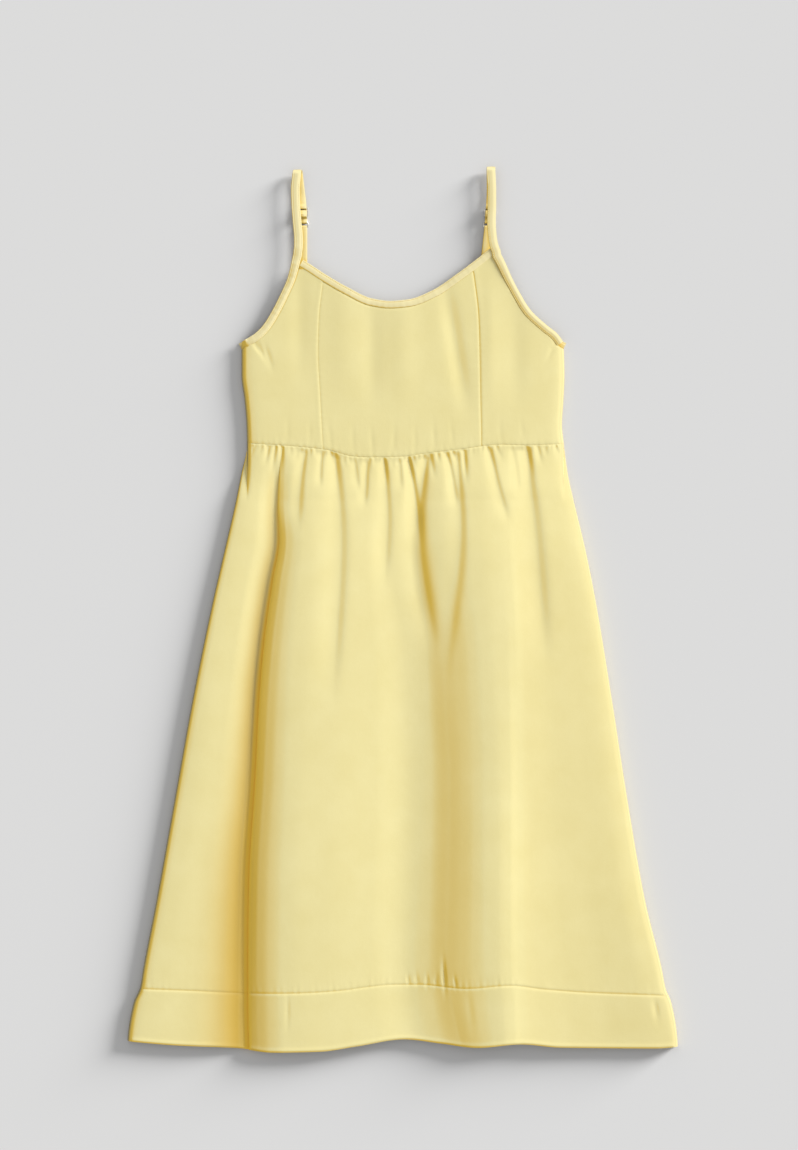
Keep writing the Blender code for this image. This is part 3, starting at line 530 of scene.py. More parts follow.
def tube_faces(rings, around, base=0):
    """Faces of a closed tube made of rings of points, from the number of its first point."""
    faces = []
    for i in range(rings - 1):
        for j in range(around):
            a = base + i * around + j
            b = base + i * around + (j + 1) % around
            faces.append((a, b, b + around, a + around))
    last = base + (rings - 1) * around
    faces.append(tuple(range(base, base + around))[::-1])
    faces.append(tuple(range(last, last + around)))
    return faces


def link_object(name, data):
    item = bpy.data.objects.new(name, data)
    bpy.context.scene.collection.objects.link(item)
    return item


def make_mesh(name, verts, faces, material, sharp=50.0):
    mesh = bpy.data.meshes.new(name)
    mesh.from_pydata(np.asarray(verts, float).tolist(), [], [list(face) for face in faces])
    mesh.validate()
    mesh.update()
    mesh.materials.append(material)
    mesh.shade_smooth()
    mesh.set_sharp_from_angle(angle=math.radians(sharp))
    return link_object(name, mesh)


def add_piece(item, slot_name, *nodes):
    """Ties a piece to the body and hides the solids that it stands for. The slot name is not used."""
    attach(item, "root")
    if nodes:
        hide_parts(*nodes)
    return item


def cloth_sheet(name, points, wall, material, *nodes):
    """Thin closed cloth about a mid surface given row by row from its top edge."""
    normal = sheet_normals(points)
    top = points + normal * wall / 2
    bottom = points - normal * wall / 2
    rows, cols = points.shape[:2]
    verts = np.concatenate([top.reshape(-1, 3), bottom.reshape(-1, 3)])
    faces = grid_faces(rows, cols, rows * cols).tolist()
    return add_piece(make_mesh(name, verts, faces, material), "crepe", *nodes)


def tape(name, centre, across, width, wall, material, node, ridge=0.0):
    """Soft flat tape with rounded edges along a path, a stitched line sunk in its top."""
    up = unit(np.cross(across, unit(np.gradient(centre, axis=0))))
    width = np.broadcast_to(width, (len(centre),))[:, None]
    wall = np.broadcast_to(wall, (len(centre),))[:, None]
    turn = np.linspace(0, 2 * np.pi, 37)[:-1]
    side = np.sign(np.cos(turn)) * np.abs(np.cos(turn)) ** 0.6 / 2
    rise = np.sign(np.sin(turn)) * np.abs(np.sin(turn)) ** 0.7 / 2
    top = np.sin(turn) > 0.05
    rise = rise - top * GROOVE * bell(side + 0.33, 0.05)
    rise = rise + top * ridge * bell(side - 0.14, 0.10)
    ring = centre[:, None, :] + across[:, None, :] * (width * side)[..., None]
    ring = ring + up[:, None, :] * (wall * rise)[..., None]
    item = make_mesh(name, ring.reshape(-1, 3), tube_faces(*ring.shape[:2]), material)
    return add_piece(item, "crepe_edge", node)


def offset_line(points, distance):
    """Line of grid points moved sideways by a distance."""
    ahead = unit(np.gradient(points, axis=0))
    side = np.stack([-ahead[:, 1], ahead[:, 0]], axis=1)
    return points + side * distance


def armhole_line(side, distance, steps):
    y = UNDERARM_Y - (UNDERARM_Y - ARMHOLE_TOP_Y) * np.linspace(0, 1, steps)
    x = along(ARMHOLE, y, SIDE_COLUMN[side])
    return offset_line(np.stack([x, y], axis=1), distance if side == "left" else -distance)


def neck_line(distance, steps):
    x = np.linspace(*NECK_ENDS, steps)
    return offset_line(np.stack([x, along(NECKLINE, x)], axis=1), distance)


def cross_direction(centre):
    """Level direction across a path, to its right."""
    ahead = np.gradient(centre, axis=0)
    ahead[:, 2] = 0
    ahead = unit(ahead)
    return np.stack([ahead[:, 1], -ahead[:, 0], np.zeros(len(ahead))], axis=1)


def bodice_detail(x, y):
    """Sunk seams, puckers and small creases of the bodice front, in millimetres."""
    waist = seam_y(x) - y
    left = x - princess(y, "left")
    right = x - princess(y, "right")
    z = -0.16 * bell(waist, 1.2)
    z = z + 0.07 * ripple(x, 1.3) * bell(waist, 6.0)
    z = z - 0.12 * bell(left, 0.7) + 0.05 * bell(left + 2.6, 2.2)
    z = z - 0.22 * bell(right, 0.6) + 0.05 * bell(right - 2.8, 2.4)
    z = z + 0.04 * ripple(y, 2.2) * bell(left, 3.5)
    z = z + 0.04 * ripple(y, 4.4) * bell(right, 3.5)
    return z + crease_height(BODICE_CREASES, x, y)


def bodice_points(x, y):
    return place(x, y, chest_height(x, y) + bodice_detail(x, y))


def build_bodice_centre(material):
    inset = neck_line(EDGE_INSET, 96)
    shares = np.linspace(0, 1, 121)
    rows = np.linspace(0, 1, 121)[:, None]
    y = 300 + (WAIST_Y - 300) * rows + shares * 0
    for _ in range(6):
        left = princess(y, "left") + PRINCESS_GAP
        right = princess(y, "right") - PRINCESS_GAP
        x = left + (right - left) * shares
        top = curve(inset[:, 0], inset[:, 1], x)
        bottom = seam_y(x) - SEAM_GAP
        y = top + (bottom - top) * rows
    points = bodice_points(x, y)
    points[..., 2] -= 0.0004 * bell(y - top, 1.3)
    return cloth_sheet("bodice_centre_cloth", points, WALL, material, "bodice_front_centre")


def build_bodice_side(side, material):
    sign = 1 if side == "left" else -1
    arm = armhole_line(side, EDGE_INSET, 60)
    edge = side_edge(350.0, side)
    under = arm[0][1] + abs(arm[0][0] - edge) * 0.6
    arm = np.concatenate([[(edge, under)], arm])
    neck = neck_line(EDGE_INSET, 96)
    neck = neck[:30] if side == "left" else neck[-30:]
    first = 270.0 if side == "left" else ARMHOLE_TOP_Y
    rows = np.linspace(0, 1, 141)[:, None]
    shares = np.linspace(0, 1, 61)
    y = first + (445 - first) * rows + shares * 0
    for _ in range(6):
        outer = np.where(y < under, curve(arm[:, 1], arm[:, 0], y), side_edge(y, side))
        inner = princess(y, side) - PRINCESS_GAP * sign
        on_neck = curve(neck[:, 1], neck[:, 0], y)
        inner = np.where(y < neck[:, 1].max(), sign * np.minimum(sign * inner, sign * on_neck), inner)
        x = outer + (inner - outer) * shares
        y = first + (seam_y(x) - SEAM_GAP - first) * rows
    points = bodice_points(x, y)
    points[..., 2] -= 0.0004 * bell(x - outer, 1.3) * (y < under + 2)
    if side == "right":
        points = points[:, ::-1]
    return cloth_sheet("bodice_side_cloth_" + side, points, WALL, material, "bodice_front_side_" + side)


def build_neck_binding(material):
    """Binding of the neckline, and the line of its stitches."""
    line = neck_line(BINDING_WIDTH / 2, 180)
    line = line[(line[:, 0] > 301.0) & (line[:, 0] < 496.0)]
    x, y = line[:, 0], line[:, 1]
    travel = np.cumsum(np.hypot(np.gradient(x), np.gradient(y)))
    z = chest_height(x, y) + 0.15 + 0.05 * ripple(travel, 0.7)
    centre = place(x, y, z)
    width = (BINDING_WIDTH + 0.10 * ripple(travel, 5.1)) * GRID
    item = tape("neck_binding_cloth", centre, cross_direction(centre), width, BINDING_WALL, material,
                "neck_binding_front")
    lift = np.array((0, 0, BINDING_WALL * 0.46))
    return item, centre - cross_direction(centre) * BINDING_WIDTH * GRID * 0.33 + lift


def build_back_binding(material):
    """Binding of the back's top edge."""
    x = np.linspace(BACK_TOP[0][0], BACK_TOP[-1][0] - 1.0, 160)
    edge = np.stack([x, along(BACK_TOP, x)], axis=1)
    line = offset_line(edge, -(BINDING_WIDTH / 2 + 0.05))
    centre = place(line[:, 0], line[:, 1], np.full(len(x), 0.75))
    return tape("back_binding_cloth", centre, cross_direction(centre), BINDING_WIDTH * GRID,
                BACK_BINDING_WALL, material, "back_binding")


def rounded_path(corners, steps):
    """Path in strap distance and height with a rounded bend at each inner corner."""
    out = [np.array(corners[0][:2], float)]
    for before, here, after in zip(corners, corners[1:], corners[2:]):
        point = np.array(here[:2], float)
        back = np.array(before[:2], float) - point
        ahead = np.array(after[:2], float) - point
        angle = np.arccos(np.clip(unit(back) @ unit(ahead), -1, 1))
        limit = 0.48 * min(np.linalg.norm(back), np.linalg.norm(ahead))
        reach = min(here[2] / np.tan(angle / 2), limit)
        start = point + unit(back) * reach
        end = point + unit(ahead) * reach
        for t in np.linspace(0, 1, steps):
            out.append(start * (1 - t) ** 2 + point * 2 * t * (1 - t) + end * t * t)
    out.append(np.array(corners[-1][:2], float))
    return np.array(out)


def arc(centre, radius, start, end, steps):
    """Arc in strap distance and height, its angles in degrees."""
    angles = np.radians(np.linspace(start, end, steps))
    return np.stack([centre[0] + radius * np.cos(angles), centre[1] + radius * np.sin(angles)], axis=1)


def under_strap(side, down, height):
    """Points on a strap's back run, by distance down from the slider and height in millimetres."""
    y = SLIDER_Y + down * 0.001 / GRID
    return place(along(STRAP_BACK, y, SIDE_COLUMN[side]), y, height)


def threaded_path():
    """Strap's back run as distance down from the slider and height.

    It lies over both ends of the slider and dips under its middle bar, turns round the ring
    and comes back on top to end in a loop round the middle bar.
    """
    wall = STRAP_WALL * 1000
    wrap = SLIDER_BAR / 2 + 0.5 + wall / 2
    over = SLIDER_HEIGHT + SLIDER_SIZE[2] / 2 + 0.35 + wall / 2
    deep = SLIDER_HEIGHT - wrap - wall - 0.3
    loop = RING_WIRE + 0.3 + wall / 2
    top = over + wall + 0.35
    turn = RING_OFFSET - 2.9
    run = rounded_path((
        (-9.5, 3.6, 0), (-6.6, over, 1.5), (-3.35, over + 0.1, 0.9), (-3.35, deep, 0.9),
        (3.35, deep, 0.9), (3.35, over + 0.1, 0.9), (5.9, over, 0.8), (8.6, RING_HEIGHT - loop, 1.0),
        (turn - 0.4, RING_HEIGHT - loop, 0),
    ), 8)
    bend = arc((turn, RING_HEIGHT), loop, -90, 90, 17)
    touch = np.radians(109.0)
    tail = rounded_path((
        (turn - 1.0, RING_HEIGHT + loop, 0), (8.9, RING_HEIGHT + loop, 1.0), (6.2, top, 1.0),
        (3.2, top, 1.5), (wrap * np.cos(touch) + 0.2, SLIDER_HEIGHT + wrap * np.sin(touch) + 0.07, 0),
    ), 6)
    end = arc((0.0, SLIDER_HEIGHT), wrap, 109, 330, 26)
    return np.concatenate([run, bend, tail, end])


def build_strap(side, material):
    """One tape: armhole edge, over the shoulder, down to the ring and back to the slider.

    Returned with the line of its stitches.
    """
    index = SIDE_COLUMN[side]
    arm = armhole_line(side, BINDING_WIDTH / 2 + 0.1, 90)[:-1]
    inner = 1 if side == "left" else -1
    if side == "left":
        start = (arm[0, 0] - side_edge(345.0, side) - 0.5) / (arm[1, 0] - arm[0, 0])
        arm[0] = arm[0] - (arm[1] - arm[0]) * start
    arm_z = chest_height(arm[:, 0], arm[:, 1]) + BINDING_LIFT
    arm_z = arm_z + 1.1 * ease((290 - arm[:, 1]) / 28.0)
    front_y = np.linspace(252.0, 184.0, 56)
    front_x = along(STRAP_FRONT, front_y, index)
    front_z = along(STRAP_FRONT, front_y, 3)
    x = np.concatenate([arm[:, 0], front_x])
    y = np.concatenate([arm[:, 1], front_y])
    z = np.concatenate([arm_z, front_z])
    for _ in range(6):
        z[80:100] = (z[79:99] + z[80:100] + z[81:101]) / 3
        x[80:100] = (x[79:99] + x[80:100] + x[81:101]) / 3
    travel = np.cumsum(np.hypot(np.gradient(x), np.gradient(y)))
    z = z + 0.05 * ripple(travel, 3.3 + index) * (1 - ease((travel - 120) / 20.0))
    front = place(x, y, z)
    across = cross_direction(front)
    ahead = np.gradient(front, axis=0)
    if side == "left":
        slant = (across[:, 0] / ahead[:, 0])[:6, None] * np.linspace(1, 0, 6)[:, None]
        across[:6] = across[:6] - ahead[:6] * slant
    blend = ease((np.arange(len(front)) - (len(front) - 12)) / 11.0)[:, None]
    across = across * (1 - blend) + np.array((1.0, 0.0, 0.0)) * blend
    across[6:] = unit(across[6:])

    centre_z = (STRAP_TOP_HEIGHT + STRAP_BACK_HEIGHT) / 2
    reach_z = (STRAP_TOP_HEIGHT - STRAP_BACK_HEIGHT) / 2
    fold_y = (GRID_Y - FOLD_Y[side]) * GRID
    front_at = along(STRAP_FRONT, FOLD_CUT_Y, index)
    back_at = along(STRAP_BACK, FOLD_CUT_Y, index)
    angle = np.radians(np.linspace(90, -90, 31))
    at_x = back_at + (front_at - back_at) * (angle + np.pi / 2) / np.pi
    fold = np.stack([(at_x - GRID_X) * GRID, fold_y + FOLD_DEPTH * np.cos(angle),
                     centre_z + reach_z * np.sin(angle)], axis=1)

    run = threaded_path()
    first = (SLIDER_Y - FOLD_Y[side]) * GRID * 1000
    lead_at = np.linspace(-first * 0.9, -10.4, 24)
    lead_z = curve((-first, -first * 0.72, -first * 0.45, -9.5), (3.6, 3.4, 3.0, 3.6), lead_at)
    run = np.concatenate([np.stack([lead_at, lead_z], axis=1), run])
    back = under_strap(side, run[:, 0], run[:, 1])

    centre = np.concatenate([front, fold, back])
    level = np.tile((1.0, 0.0, 0.0), (len(fold) + len(back), 1))
    across = np.concatenate([across, level])
    share = np.clip((front[:, 1] - (GRID_Y - 285) * GRID) / 0.035, 0, 1)
    share = np.pad(share, (0, len(level)), constant_values=1.0)
    width = (BINDING_WIDTH + (STRAP_WIDTH - BINDING_WIDTH) * share) * GRID
    wall = BINDING_WALL + (STRAP_WALL - BINDING_WALL) * share
    item = tape("strap_cloth_" + side, centre, across, width, wall, material, "strap_" + side,
                ridge=RIDGE)
    sewn = centre[:len(front)] + across[:len(front)] * (0.36 * width[:len(front)])[:, None] * inner
    sewn[:, 2] += wall[:len(front)] * 0.46
    return item, sewn


def build_back_strap(side, material):
    """Short tape from the ring to the top edge of the back, doubled round the ring."""
    loop = RING_WIRE + 0.3 + STRAP_WALL * 500
    turn = RING_OFFSET + 2.9
    end = (BACK_STRAP_END - SLIDER_Y) * GRID * 1000
    reach = RING_OFFSET + RING_RADIUS + 3.0
    low = 2.0
    high = low + STRAP_WALL * 1000 + 0.35
    middle = (end - 30.0 + reach) / 2
    lower = rounded_path(((end, low, 0), (end - 17.0, low, 5.0), (end - 30.0, low - 0.5, 5.0),
                          (middle, 0.9, 5.0), (reach, RING_HEIGHT - loop, 3.0),
                          (turn + 0.4, RING_HEIGHT - loop, 0)), 7)
    bend = arc((turn, RING_HEIGHT), loop, -90, -270, 17)
    upper = rounded_path(((turn + 0.4, RING_HEIGHT + loop, 0), (reach, RING_HEIGHT + loop, 3.0),
                          (middle, 2.6, 5.0), (end - 30.0, high - 0.3, 5.0),
                          (end - 17.0, high, 5.0), (end, high, 0)), 7)
    run = np.concatenate([lower, bend, upper])
    centre = under_strap(side, run[:, 0], run[:, 1])
    across = np.tile((1.0, 0.0, 0.0), (len(centre), 1))
    return tape("back_strap_cloth_" + side, centre, across, STRAP_WIDTH * GRID, STRAP_WALL, material,
                "back_strap_" + side, ridge=RIDGE)


def build_slider(side, material):
    """Flat frame with two slots and a middle bar, its edges rounded."""
    centre = under_strap(side, 0.0, SLIDER_HEIGHT)
    half_x, half_y, half_z = (size / 2 for size in SLIDER_SIZE)
    bar = SLIDER_BAR
    xs = (-half_x, -half_x + bar, half_x - bar, half_x)
    ys = (-half_y, -half_y + bar, -bar / 2, bar / 2, half_y - bar, half_y)
    solid = {(i, j) for i in range(3) for j in range(5)} - {(1, 1), (1, 3)}
    index_of = {}
    verts = []
    faces = []

    def corner(i, j, k):
        key = (i, j, k)
        if key not in index_of:
            index_of[key] = len(verts)
            offset = np.array((xs[i], ys[j], (-half_z, half_z)[k])) * 0.001
            verts.append(tuple(centre + offset))
        return index_of[key]

    for i, j in sorted(solid):
        faces.append((corner(i, j, 1), corner(i + 1, j, 1), corner(i + 1, j + 1, 1), corner(i, j + 1, 1)))
        faces.append((corner(i, j, 0), corner(i, j + 1, 0), corner(i + 1, j + 1, 0), corner(i + 1, j, 0)))
        sides = (
            ((i, j - 1), (i, j), (i + 1, j)), ((i + 1, j), (i + 1, j), (i + 1, j + 1)),
            ((i, j + 1), (i + 1, j + 1), (i, j + 1)), ((i - 1, j), (i, j + 1), (i, j)),
        )
        for neighbour, a, b in sides:
            if neighbour not in solid:
                faces.append((corner(*a, 0), corner(*b, 0), corner(*b, 1), corner(*a, 1)))
    item = make_mesh("slider_frame_" + side, verts, faces, material, sharp=70.0)
    bevel = item.modifiers.new("rounded", "BEVEL")
    bevel.width = 0.00028
    bevel.segments = 3
    bevel.limit_method = "ANGLE"
    return add_piece(item, "hardware", "slider_" + side)


def build_ring(side, material):
    """Round wire ring, lying flat."""
    centre = under_strap(side, RING_OFFSET, RING_HEIGHT)
    around = 96
    section = 16
    verts = []
    faces = []
    for i in range(around):
        turn = 2 * np.pi * i / around
        for j in range(section):
            roll = 2 * np.pi * (j + 0.5) / section
            reach = (RING_RADIUS + RING_WIRE * np.cos(roll)) * 0.001
            height = RING_WIRE * np.sin(roll) * 0.001
            verts.append(tuple(centre + np.array((reach * np.cos(turn), reach * np.sin(turn), height))))
            a = i * section + j
            b = i * section + (j + 1) % section
            c = ((i + 1) % around) * section + j
            d = ((i + 1) % around) * section + (j + 1) % section
            faces.append((a, c, d, b))
    item = make_mesh("ring_wire_" + side, verts, faces, material)
    return add_piece(item, "hardware", "ring_" + side)


def skirt_steps(length):
    """Rows below the waist seam, close together near the two seams, as shares of the length."""
    near = np.concatenate([np.arange(0, 4, 0.55), np.arange(4, 10, 0.9), np.arange(10, 30, 1.6),
                           np.arange(30, 66, 2.4)])
    end = np.array([0, 0.5, 1.0, 1.6, 2.3, 3.1, 4.1, 5.4, 7.0, 9.0, 11.5, 14.5, 18.0])
    middle = np.linspace(68.0, length - 22.0, 96)
    return np.concatenate([near, middle, length - end[::-1]]) / length


def paint_fold_shade(item, points):
    """Three values from 0 to 1 at each point of the skirt, for painted shade and glow in the cloth's
    colour.

    They say how deep it lies in a fold, for painted shade; how near the overlap's edge, where painted
    edge darkening is held back; and how far under that edge, for a painted glow in its shadow.
    """
    x = points[..., 0] / GRID + GRID_X
    y = GRID_Y - points[..., 1] / GRID
    edge, rise, crease = fold_lines(y)
    grown = ease((y - 470) / 150.0)
    left = edge - 3.0 - x
    reach = along(HOLLOW_REACH, y)
    # Painted shade in the valley left of the overlap fold, standing in for the fold's cast shadow
    valley = bell(np.maximum(left, 0), reach) * ease((left + 4.0) / 4.0)
    valley = valley * (0.66 + 0.34 * grown) * ease((y - 452) / 40.0)
    valley = valley * (1 - 0.95 * bell(left, 6.0))
    right = x - edge
    shoulder = bell(right, 16.0) * ease((right + 3.0) / 4.0) * grown
    shoulder = shoulder * (0.16 + 0.2 * ease((y - 680) / 200.0))
    middle = bell(x - rise + 2.0, 17.0) * 0.15 * ease((y - 560) / 90.0)
    bend = bell(x - rise + 5.0, 6.0) * 0.12 * ease((y - 462) / 30.0) * ease((660 - y) / 120.0)
    side = 0.06 * ease((x - crease - 2.0) / 8.0) * grown
    # Painted shade in the fold hollows: valley, shoulder, centre rise and right crease
    painted_fold_shade = np.clip(np.maximum(valley, shoulder) + middle + bend + side, 0, 1)
    # Where the painted darkening of steep edges is held back, along the overlap's edge
    overlap = bell(right, 9.0) * ease((y - 448) / 14.0)
    under = 5.0 + 6.0 * np.clip((y - 480.0) / 350.0, 0, 1)
    # Painted glow: warm bright colour in the overlap's shadow, standing in for bounced light
    painted_glow = ease((right + under) / 4.0) * ease((1.0 - right) / 4.0) * ease((y - 470) / 90.0) * 0.9
    for name, values in (("painted_fold_shade", painted_fold_shade), ("overlap", overlap), ("painted_glow", painted_glow)):
        layer = item.data.attributes.new(name, "FLOAT", "POINT")
        layer.data.foreach_set("value", np.tile(values.ravel(), 2).astype(np.float32))


def build_skirt(material):
    """Front skirt from the waist seam to the band seam, and the front band from there to the hem."""
    top = seam_row(WAIST, WAIST_Y, SEAM_GAP)
    seam = seam_row(BAND_SEAM, BAND_Y, 0.0)
    rows = top + (seam - SEAM_GAP - top) * skirt_steps(BAND_Y - WAIST_Y)[:, None]
    surface = skirt_surface(rows)
    skirt = cloth_sheet("skirt_cloth", surface, WALL, material, "skirt_front")
    paint_fold_shade(skirt, surface)
    bottom = seam_row(HEM, HEM_Y, 0.0)
    steps = np.array([0, 0.012, 0.025, 0.04, 0.06, 0.085, 0.12, 0.16, 0.21, 0.27, 0.34, 0.41, 0.48,
                      0.55, 0.62, 0.69, 0.75, 0.81, 0.86, 0.9, 0.935, 0.96, 0.98, 0.992, 1.0])
    rows = seam + SEAM_GAP + (bottom - seam - SEAM_GAP) * steps[:, None]
    surface = skirt_surface(rows)
    band = cloth_sheet("hem_band_cloth", surface, BAND_WALL, material, "hem_band_front")
    paint_fold_shade(band, surface)
    return skirt, band


def flat_panel(name, top, bottom, columns, rows, material, node):
    """Back panel lying flat on the floor between two seam lines, a little uneven on top."""
    shares = np.linspace(0, 1, columns)
    steps = np.linspace(0, 1, rows)[:, None]
    y = np.full((rows, columns), 700.0)
    for _ in range(5):
        left, right = side_edges(y)
        x = left + (right - left) * shares
        y = top(x) + (bottom(x) - top(x)) * steps
    uneven = 0.16 * (1 + np.sin(x * 0.11 + 1.3 * np.sin(y * 0.021)) * np.sin(y * 0.047 + 0.8))
    return cloth_sheet(name, place(x, y, 0.6 + uneven), BACK_WALL, material, node)


def back_seam(level, slope=0.0):
    """Straight seam across the back: its level at a given x."""
    return lambda x: level + (x - BACK_BAND_X) * slope


def build_backs(material):
    """Back bodice, skirt and band, a narrow gap apart at their seams."""
    bodice = flat_panel("bodice_back_cloth", lambda x: along(BACK_TOP, x) + 0.3,
                        back_seam(BACK_WAIST_Y - 0.1), 81, 31, material, "bodice_back")
    skirt = flat_panel("skirt_back_cloth", back_seam(BACK_WAIST_Y + 0.1),
                       back_seam(BAND_Y - 0.1, BACK_BAND_SLOPE), 91, 121, material, "skirt_back")
    band = flat_panel("hem_band_back_cloth", back_seam(BAND_Y + 0.1, BACK_BAND_SLOPE),
                      lambda x: along(HEM, x), 91, 15, material, "hem_band_back")
    return bodice, skirt, band


def stitches(name, paths, material):
    """Rows of short sewn stitches; each path is a line of points on the cloth."""
    pitch, length, radius = STITCH
    verts = []
    faces = []
    for path in paths:
        step = np.linalg.norm(np.diff(path, axis=0), axis=1)
        travel = np.concatenate([[0], np.cumsum(step)])
        for start in np.arange(pitch * 0.5, travel[-1] - length, pitch):
            at = start + length * np.array([0.0, 0.15, 0.5, 0.85, 1.0])
            spine = np.stack([np.interp(at, travel, path[:, k]) for k in range(3)], axis=1)
            ahead = unit(spine[-1] - spine[0])
            side = unit(np.array((ahead[1], -ahead[0], 0.0)))
            base = len(verts)
            for point, size, drop in zip(spine, (0.5, 0.9, 1.0, 0.9, 0.5), (1.0, 0.3, 0, 0.3, 1.0)):
                for turn in np.radians((0, 60, 120, 180, 240, 300)):
                    offset = side * np.cos(turn) + np.array((0, 0, 1.0)) * (np.sin(turn) - drop)
                    verts.append(point + offset * radius * size)
            faces.extend(tube_faces(5, 6, base))
    return add_piece(make_mesh(name, verts, faces, material), "crepe_edge")


def set_inputs(tree, node, inputs):
    """Sets a node's inputs, each to a fixed value or to the socket that feeds it."""
    for key, value in inputs.items():
        if isinstance(value, bpy.types.NodeSocket):
            tree.links.new(value, node.inputs[key])
        else:
            node.inputs[key].default_value = value


def add_node(tree, kind, inputs, **options):
    node = tree.nodes.new("ShaderNode" + kind)
    for key, value in options.items():
        setattr(node, key, value)
    set_inputs(tree, node, inputs)
    return node


def combine(tree, operation, *values, clamp=False):
    """Arithmetic on two or three values or sockets."""
    inputs = dict(enumerate(values))
    return add_node(tree, "Math", inputs, operation=operation, use_clamp=clamp).outputs[0]


def remap(tree, value, low, high, bottom=0.0, top=1.0):
    """Value from low to high, spread from bottom to top and held there past the ends."""
    inputs = {"Value": value, "From Min": low, "From Max": high, "To Min": bottom, "To Max": top}
    return add_node(tree, "MapRange", inputs).outputs["Result"]


def mix(tree, factor, start, end):
    """Mixes from a colour, or the socket that gives it, to a fixed colour."""
    inputs = {"A": start, "B": (*end, 1.0), "Factor": factor}
    return add_node(tree, "Mix", inputs, data_type="RGBA").outputs["Result"]


def noise(tree, at, scale, detail, rough=0.5):
    inputs = {"Vector": at, "Scale": scale, "Detail": detail, "Roughness": rough}
    return add_node(tree, "TexNoise", inputs).outputs["Fac"]


def attribute(tree, name):
    return add_node(tree, "Attribute", {}, attribute_name=name).outputs["Fac"]


def bump(tree, strength, distance, height, under=None):
    """Small relief, on top of another relief where one is given."""
    inputs = {"Strength": strength, "Distance": distance, "Height": height}
    if under is not None:
        inputs["Normal"] = under
    return add_node(tree, "Bump", inputs).outputs["Normal"]


def new_material(name):
    """Material with its node tree, its shader and coordinates that stay on the object."""
    material = bpy.data.materials.new(name)
    material.use_nodes = True
    tree = material.node_tree
    at = add_node(tree, "TexCoord", {}).outputs["Object"]
    return material, tree, tree.nodes["Principled BSDF"], at


def cloth_colour(tree, at, light, dark):
    """Faintly uneven colour, with painted shade on slopes away from the lamp, in enclosed places and in
    fold hollows, painted darkening on steep edges and on slopes facing the lamp, and a painted glow under
    the overlap edge.
    """
    uneven = combine(tree, "MULTIPLY_ADD", noise(tree, at, 900.0, 2.0, 0.6), 0.55,
                     noise(tree, at, 26.0, 3.0))
    colour = mix(tree, remap(tree, uneven, 0.5, 1.1), (*dark, 1.0), light)
    normal = add_node(tree, "NewGeometry", {}).outputs["Normal"]
    # How far a face turns to the side away from the lamp, for painted shade and painted darkening
    lean = add_node(tree, "VectorMath", {0: normal, 1: SHADED_SIDE}, operation="DOT_PRODUCT")
    lean = lean.outputs["Value"]
    # Painted shade in enclosed places, from ambient occlusion
    enclosed = add_node(tree, "AmbientOcclusion", {"Distance": 0.02}, samples=8).outputs["AO"]
    shaded = combine(tree, "ADD", remap(tree, enclosed, 0.96, 0.40), remap(tree, lean, 0.03, 0.19),
                     clamp=True)
    # Painted golden shade where faces lean away from the lamp or lie enclosed
    colour = mix(tree, shaded, colour, PAINTED_SHADE_COLOUR)
    # Painted shade in the fold hollows
    colour = mix(tree, attribute(tree, "painted_fold_shade"), colour, PAINTED_FOLD_SHADE_COLOUR)
    upward = add_node(tree, "SeparateXYZ", {0: normal}).outputs["Z"]
    # Painted darkening on steep faces, held back along the overlap's edge, and on slopes facing the lamp
    steep = combine(tree, "SUBTRACT", remap(tree, upward, 0.88, 0.45), attribute(tree, "overlap"),
                    clamp=True)
    edge = combine(tree, "MAXIMUM", steep, remap(tree, lean, -0.08, -0.45, top=0.8))
    colour = mix(tree, edge, colour, PAINTED_EDGE_SHADE_COLOUR)
    # Painted glow in the shadow under the overlap edge
    return mix(tree, attribute(tree, "painted_glow"), colour, PAINTED_GLOW_COLOUR)


def cloth_material(name, light, dark, weave):
    """Matt crepe: pebbled weave on a faintly uneven surface, its colour carrying painted shade and glow.
    """
    material, tree, shader, at = new_material(name)
    threads = [add_node(tree, "TexWave", {"Vector": at, "Scale": 300.0, "Distortion": 1.5},
                        bands_direction=way).outputs["Fac"] for way in "XY"]
    relief = combine(tree, "MULTIPLY_ADD", combine(tree, "ADD", *threads), 0.35,
                     noise(tree, at, 1350.0, 2.0))
    fine = bump(tree, weave, 0.00012, relief)
    set_inputs(tree, shader, {
        "Base Color": cloth_colour(tree, at, light, dark),
        "Normal": bump(tree, 0.08, 0.0006, noise(tree, at, 150.0, 3.0, 0.55), fine),
        "Roughness": 0.82,
        "Specular IOR Level": 0.25,
        "Sheen Weight": 0.12,
        "Sheen Roughness": 0.45,
    })
    return material


def metal_material():
    """Bright metal with a faint, uneven wear."""
    material, tree, shader, at = new_material("pale_metal")
    worn = noise(tree, at, 700.0, 3.0)
    set_inputs(tree, shader, {
        "Base Color": (0.80, 0.77, 0.70, 1.0),
        "Metallic": 1.0,
        "Roughness": remap(tree, worn, 0.0, 1.0, 0.2, 0.4),
        "Normal": bump(tree, 0.15, 0.00005, worn),
    })
    return material


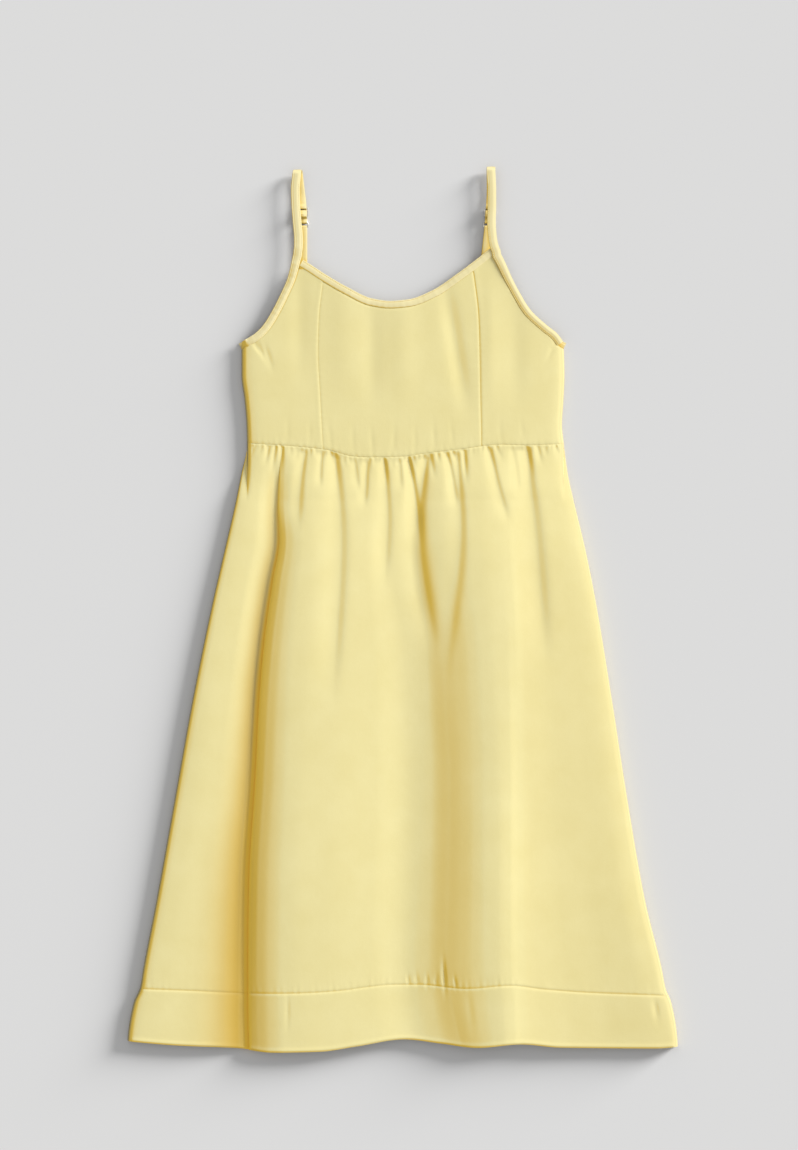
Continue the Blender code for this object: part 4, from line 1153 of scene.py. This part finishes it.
def build_studio():
    """Pale floor, even fill, one broad low lamp and the camera straight above."""
    floor_mesh = bpy.data.meshes.new("floor")
    corners = [(-1, -1), (1, -1), (1, 1), (-1, 1)]
    corners = [(x * FLOOR_REACH, y * FLOOR_REACH, FLOOR_LEVEL) for x, y in corners]
    floor_mesh.from_pydata(corners, [], [(0, 1, 2, 3)])
    paper = bpy.data.materials.new("floor_paper")
    paper.use_nodes = True
    set_inputs(paper.node_tree, paper.node_tree.nodes["Principled BSDF"], {
        "Base Color": (*FLOOR_COLOUR, 1.0),
        "Roughness": 1.0,
        "Specular IOR Level": 0.0,
    })
    floor_mesh.materials.append(paper)
    floor = link_object("floor", floor_mesh)

    world = bpy.data.worlds.new("studio")
    world.use_nodes = True
    set_inputs(world.node_tree, world.node_tree.nodes["Background"], {
        "Color": (1.0, 1.0, 1.0, 1.0),
        "Strength": FILL_STRENGTH,
    })

    azimuth, elevation, spread, strength = LAMP
    lamp = bpy.data.lights.new("key", "SUN")
    lamp.energy = strength
    lamp.angle = math.radians(spread)
    lamp.color = (1.0, 0.995, 0.985)
    item = link_object("key", lamp)
    item.rotation_euler = (math.radians(90 - elevation), 0.0, math.radians(azimuth + 90))

    camera = bpy.data.cameras.new("camera")
    camera.lens = 100.0
    camera.sensor_width = 36.0
    camera.sensor_fit = "AUTO"
    camera.clip_end = 30.0
    item = link_object("camera", camera)
    item.location = CAMERA_PLACE
    scene = bpy.context.scene
    scene.world = world
    scene.camera = item
    scene.view_settings.view_transform = "Standard"
    scene.view_settings.look = "None"


crepe, crepe_edge, thread = [cloth_material(name, *look) for name, look in CLOTHS.items()]
metal = metal_material()

skirt, band = build_skirt(crepe)
centre = build_bodice_centre(crepe)
side_left = build_bodice_side("left", crepe)
side_right = build_bodice_side("right", crepe)
bodice_back, skirt_back, band_back = build_backs(crepe)
neck, neck_sewn = build_neck_binding(crepe_edge)
back_edge = build_back_binding(crepe_edge)
strap_left, sewn_left = build_strap("left", crepe_edge)
strap_right, sewn_right = build_strap("right", crepe_edge)
back_left = build_back_strap("left", crepe_edge)
back_right = build_back_strap("right", crepe_edge)
for side in ("left", "right"):
    build_slider(side, metal)
    build_ring(side, metal)
sewing = stitches("edge_stitching", [neck_sewn, sewn_left, sewn_right], thread)

build_studio()
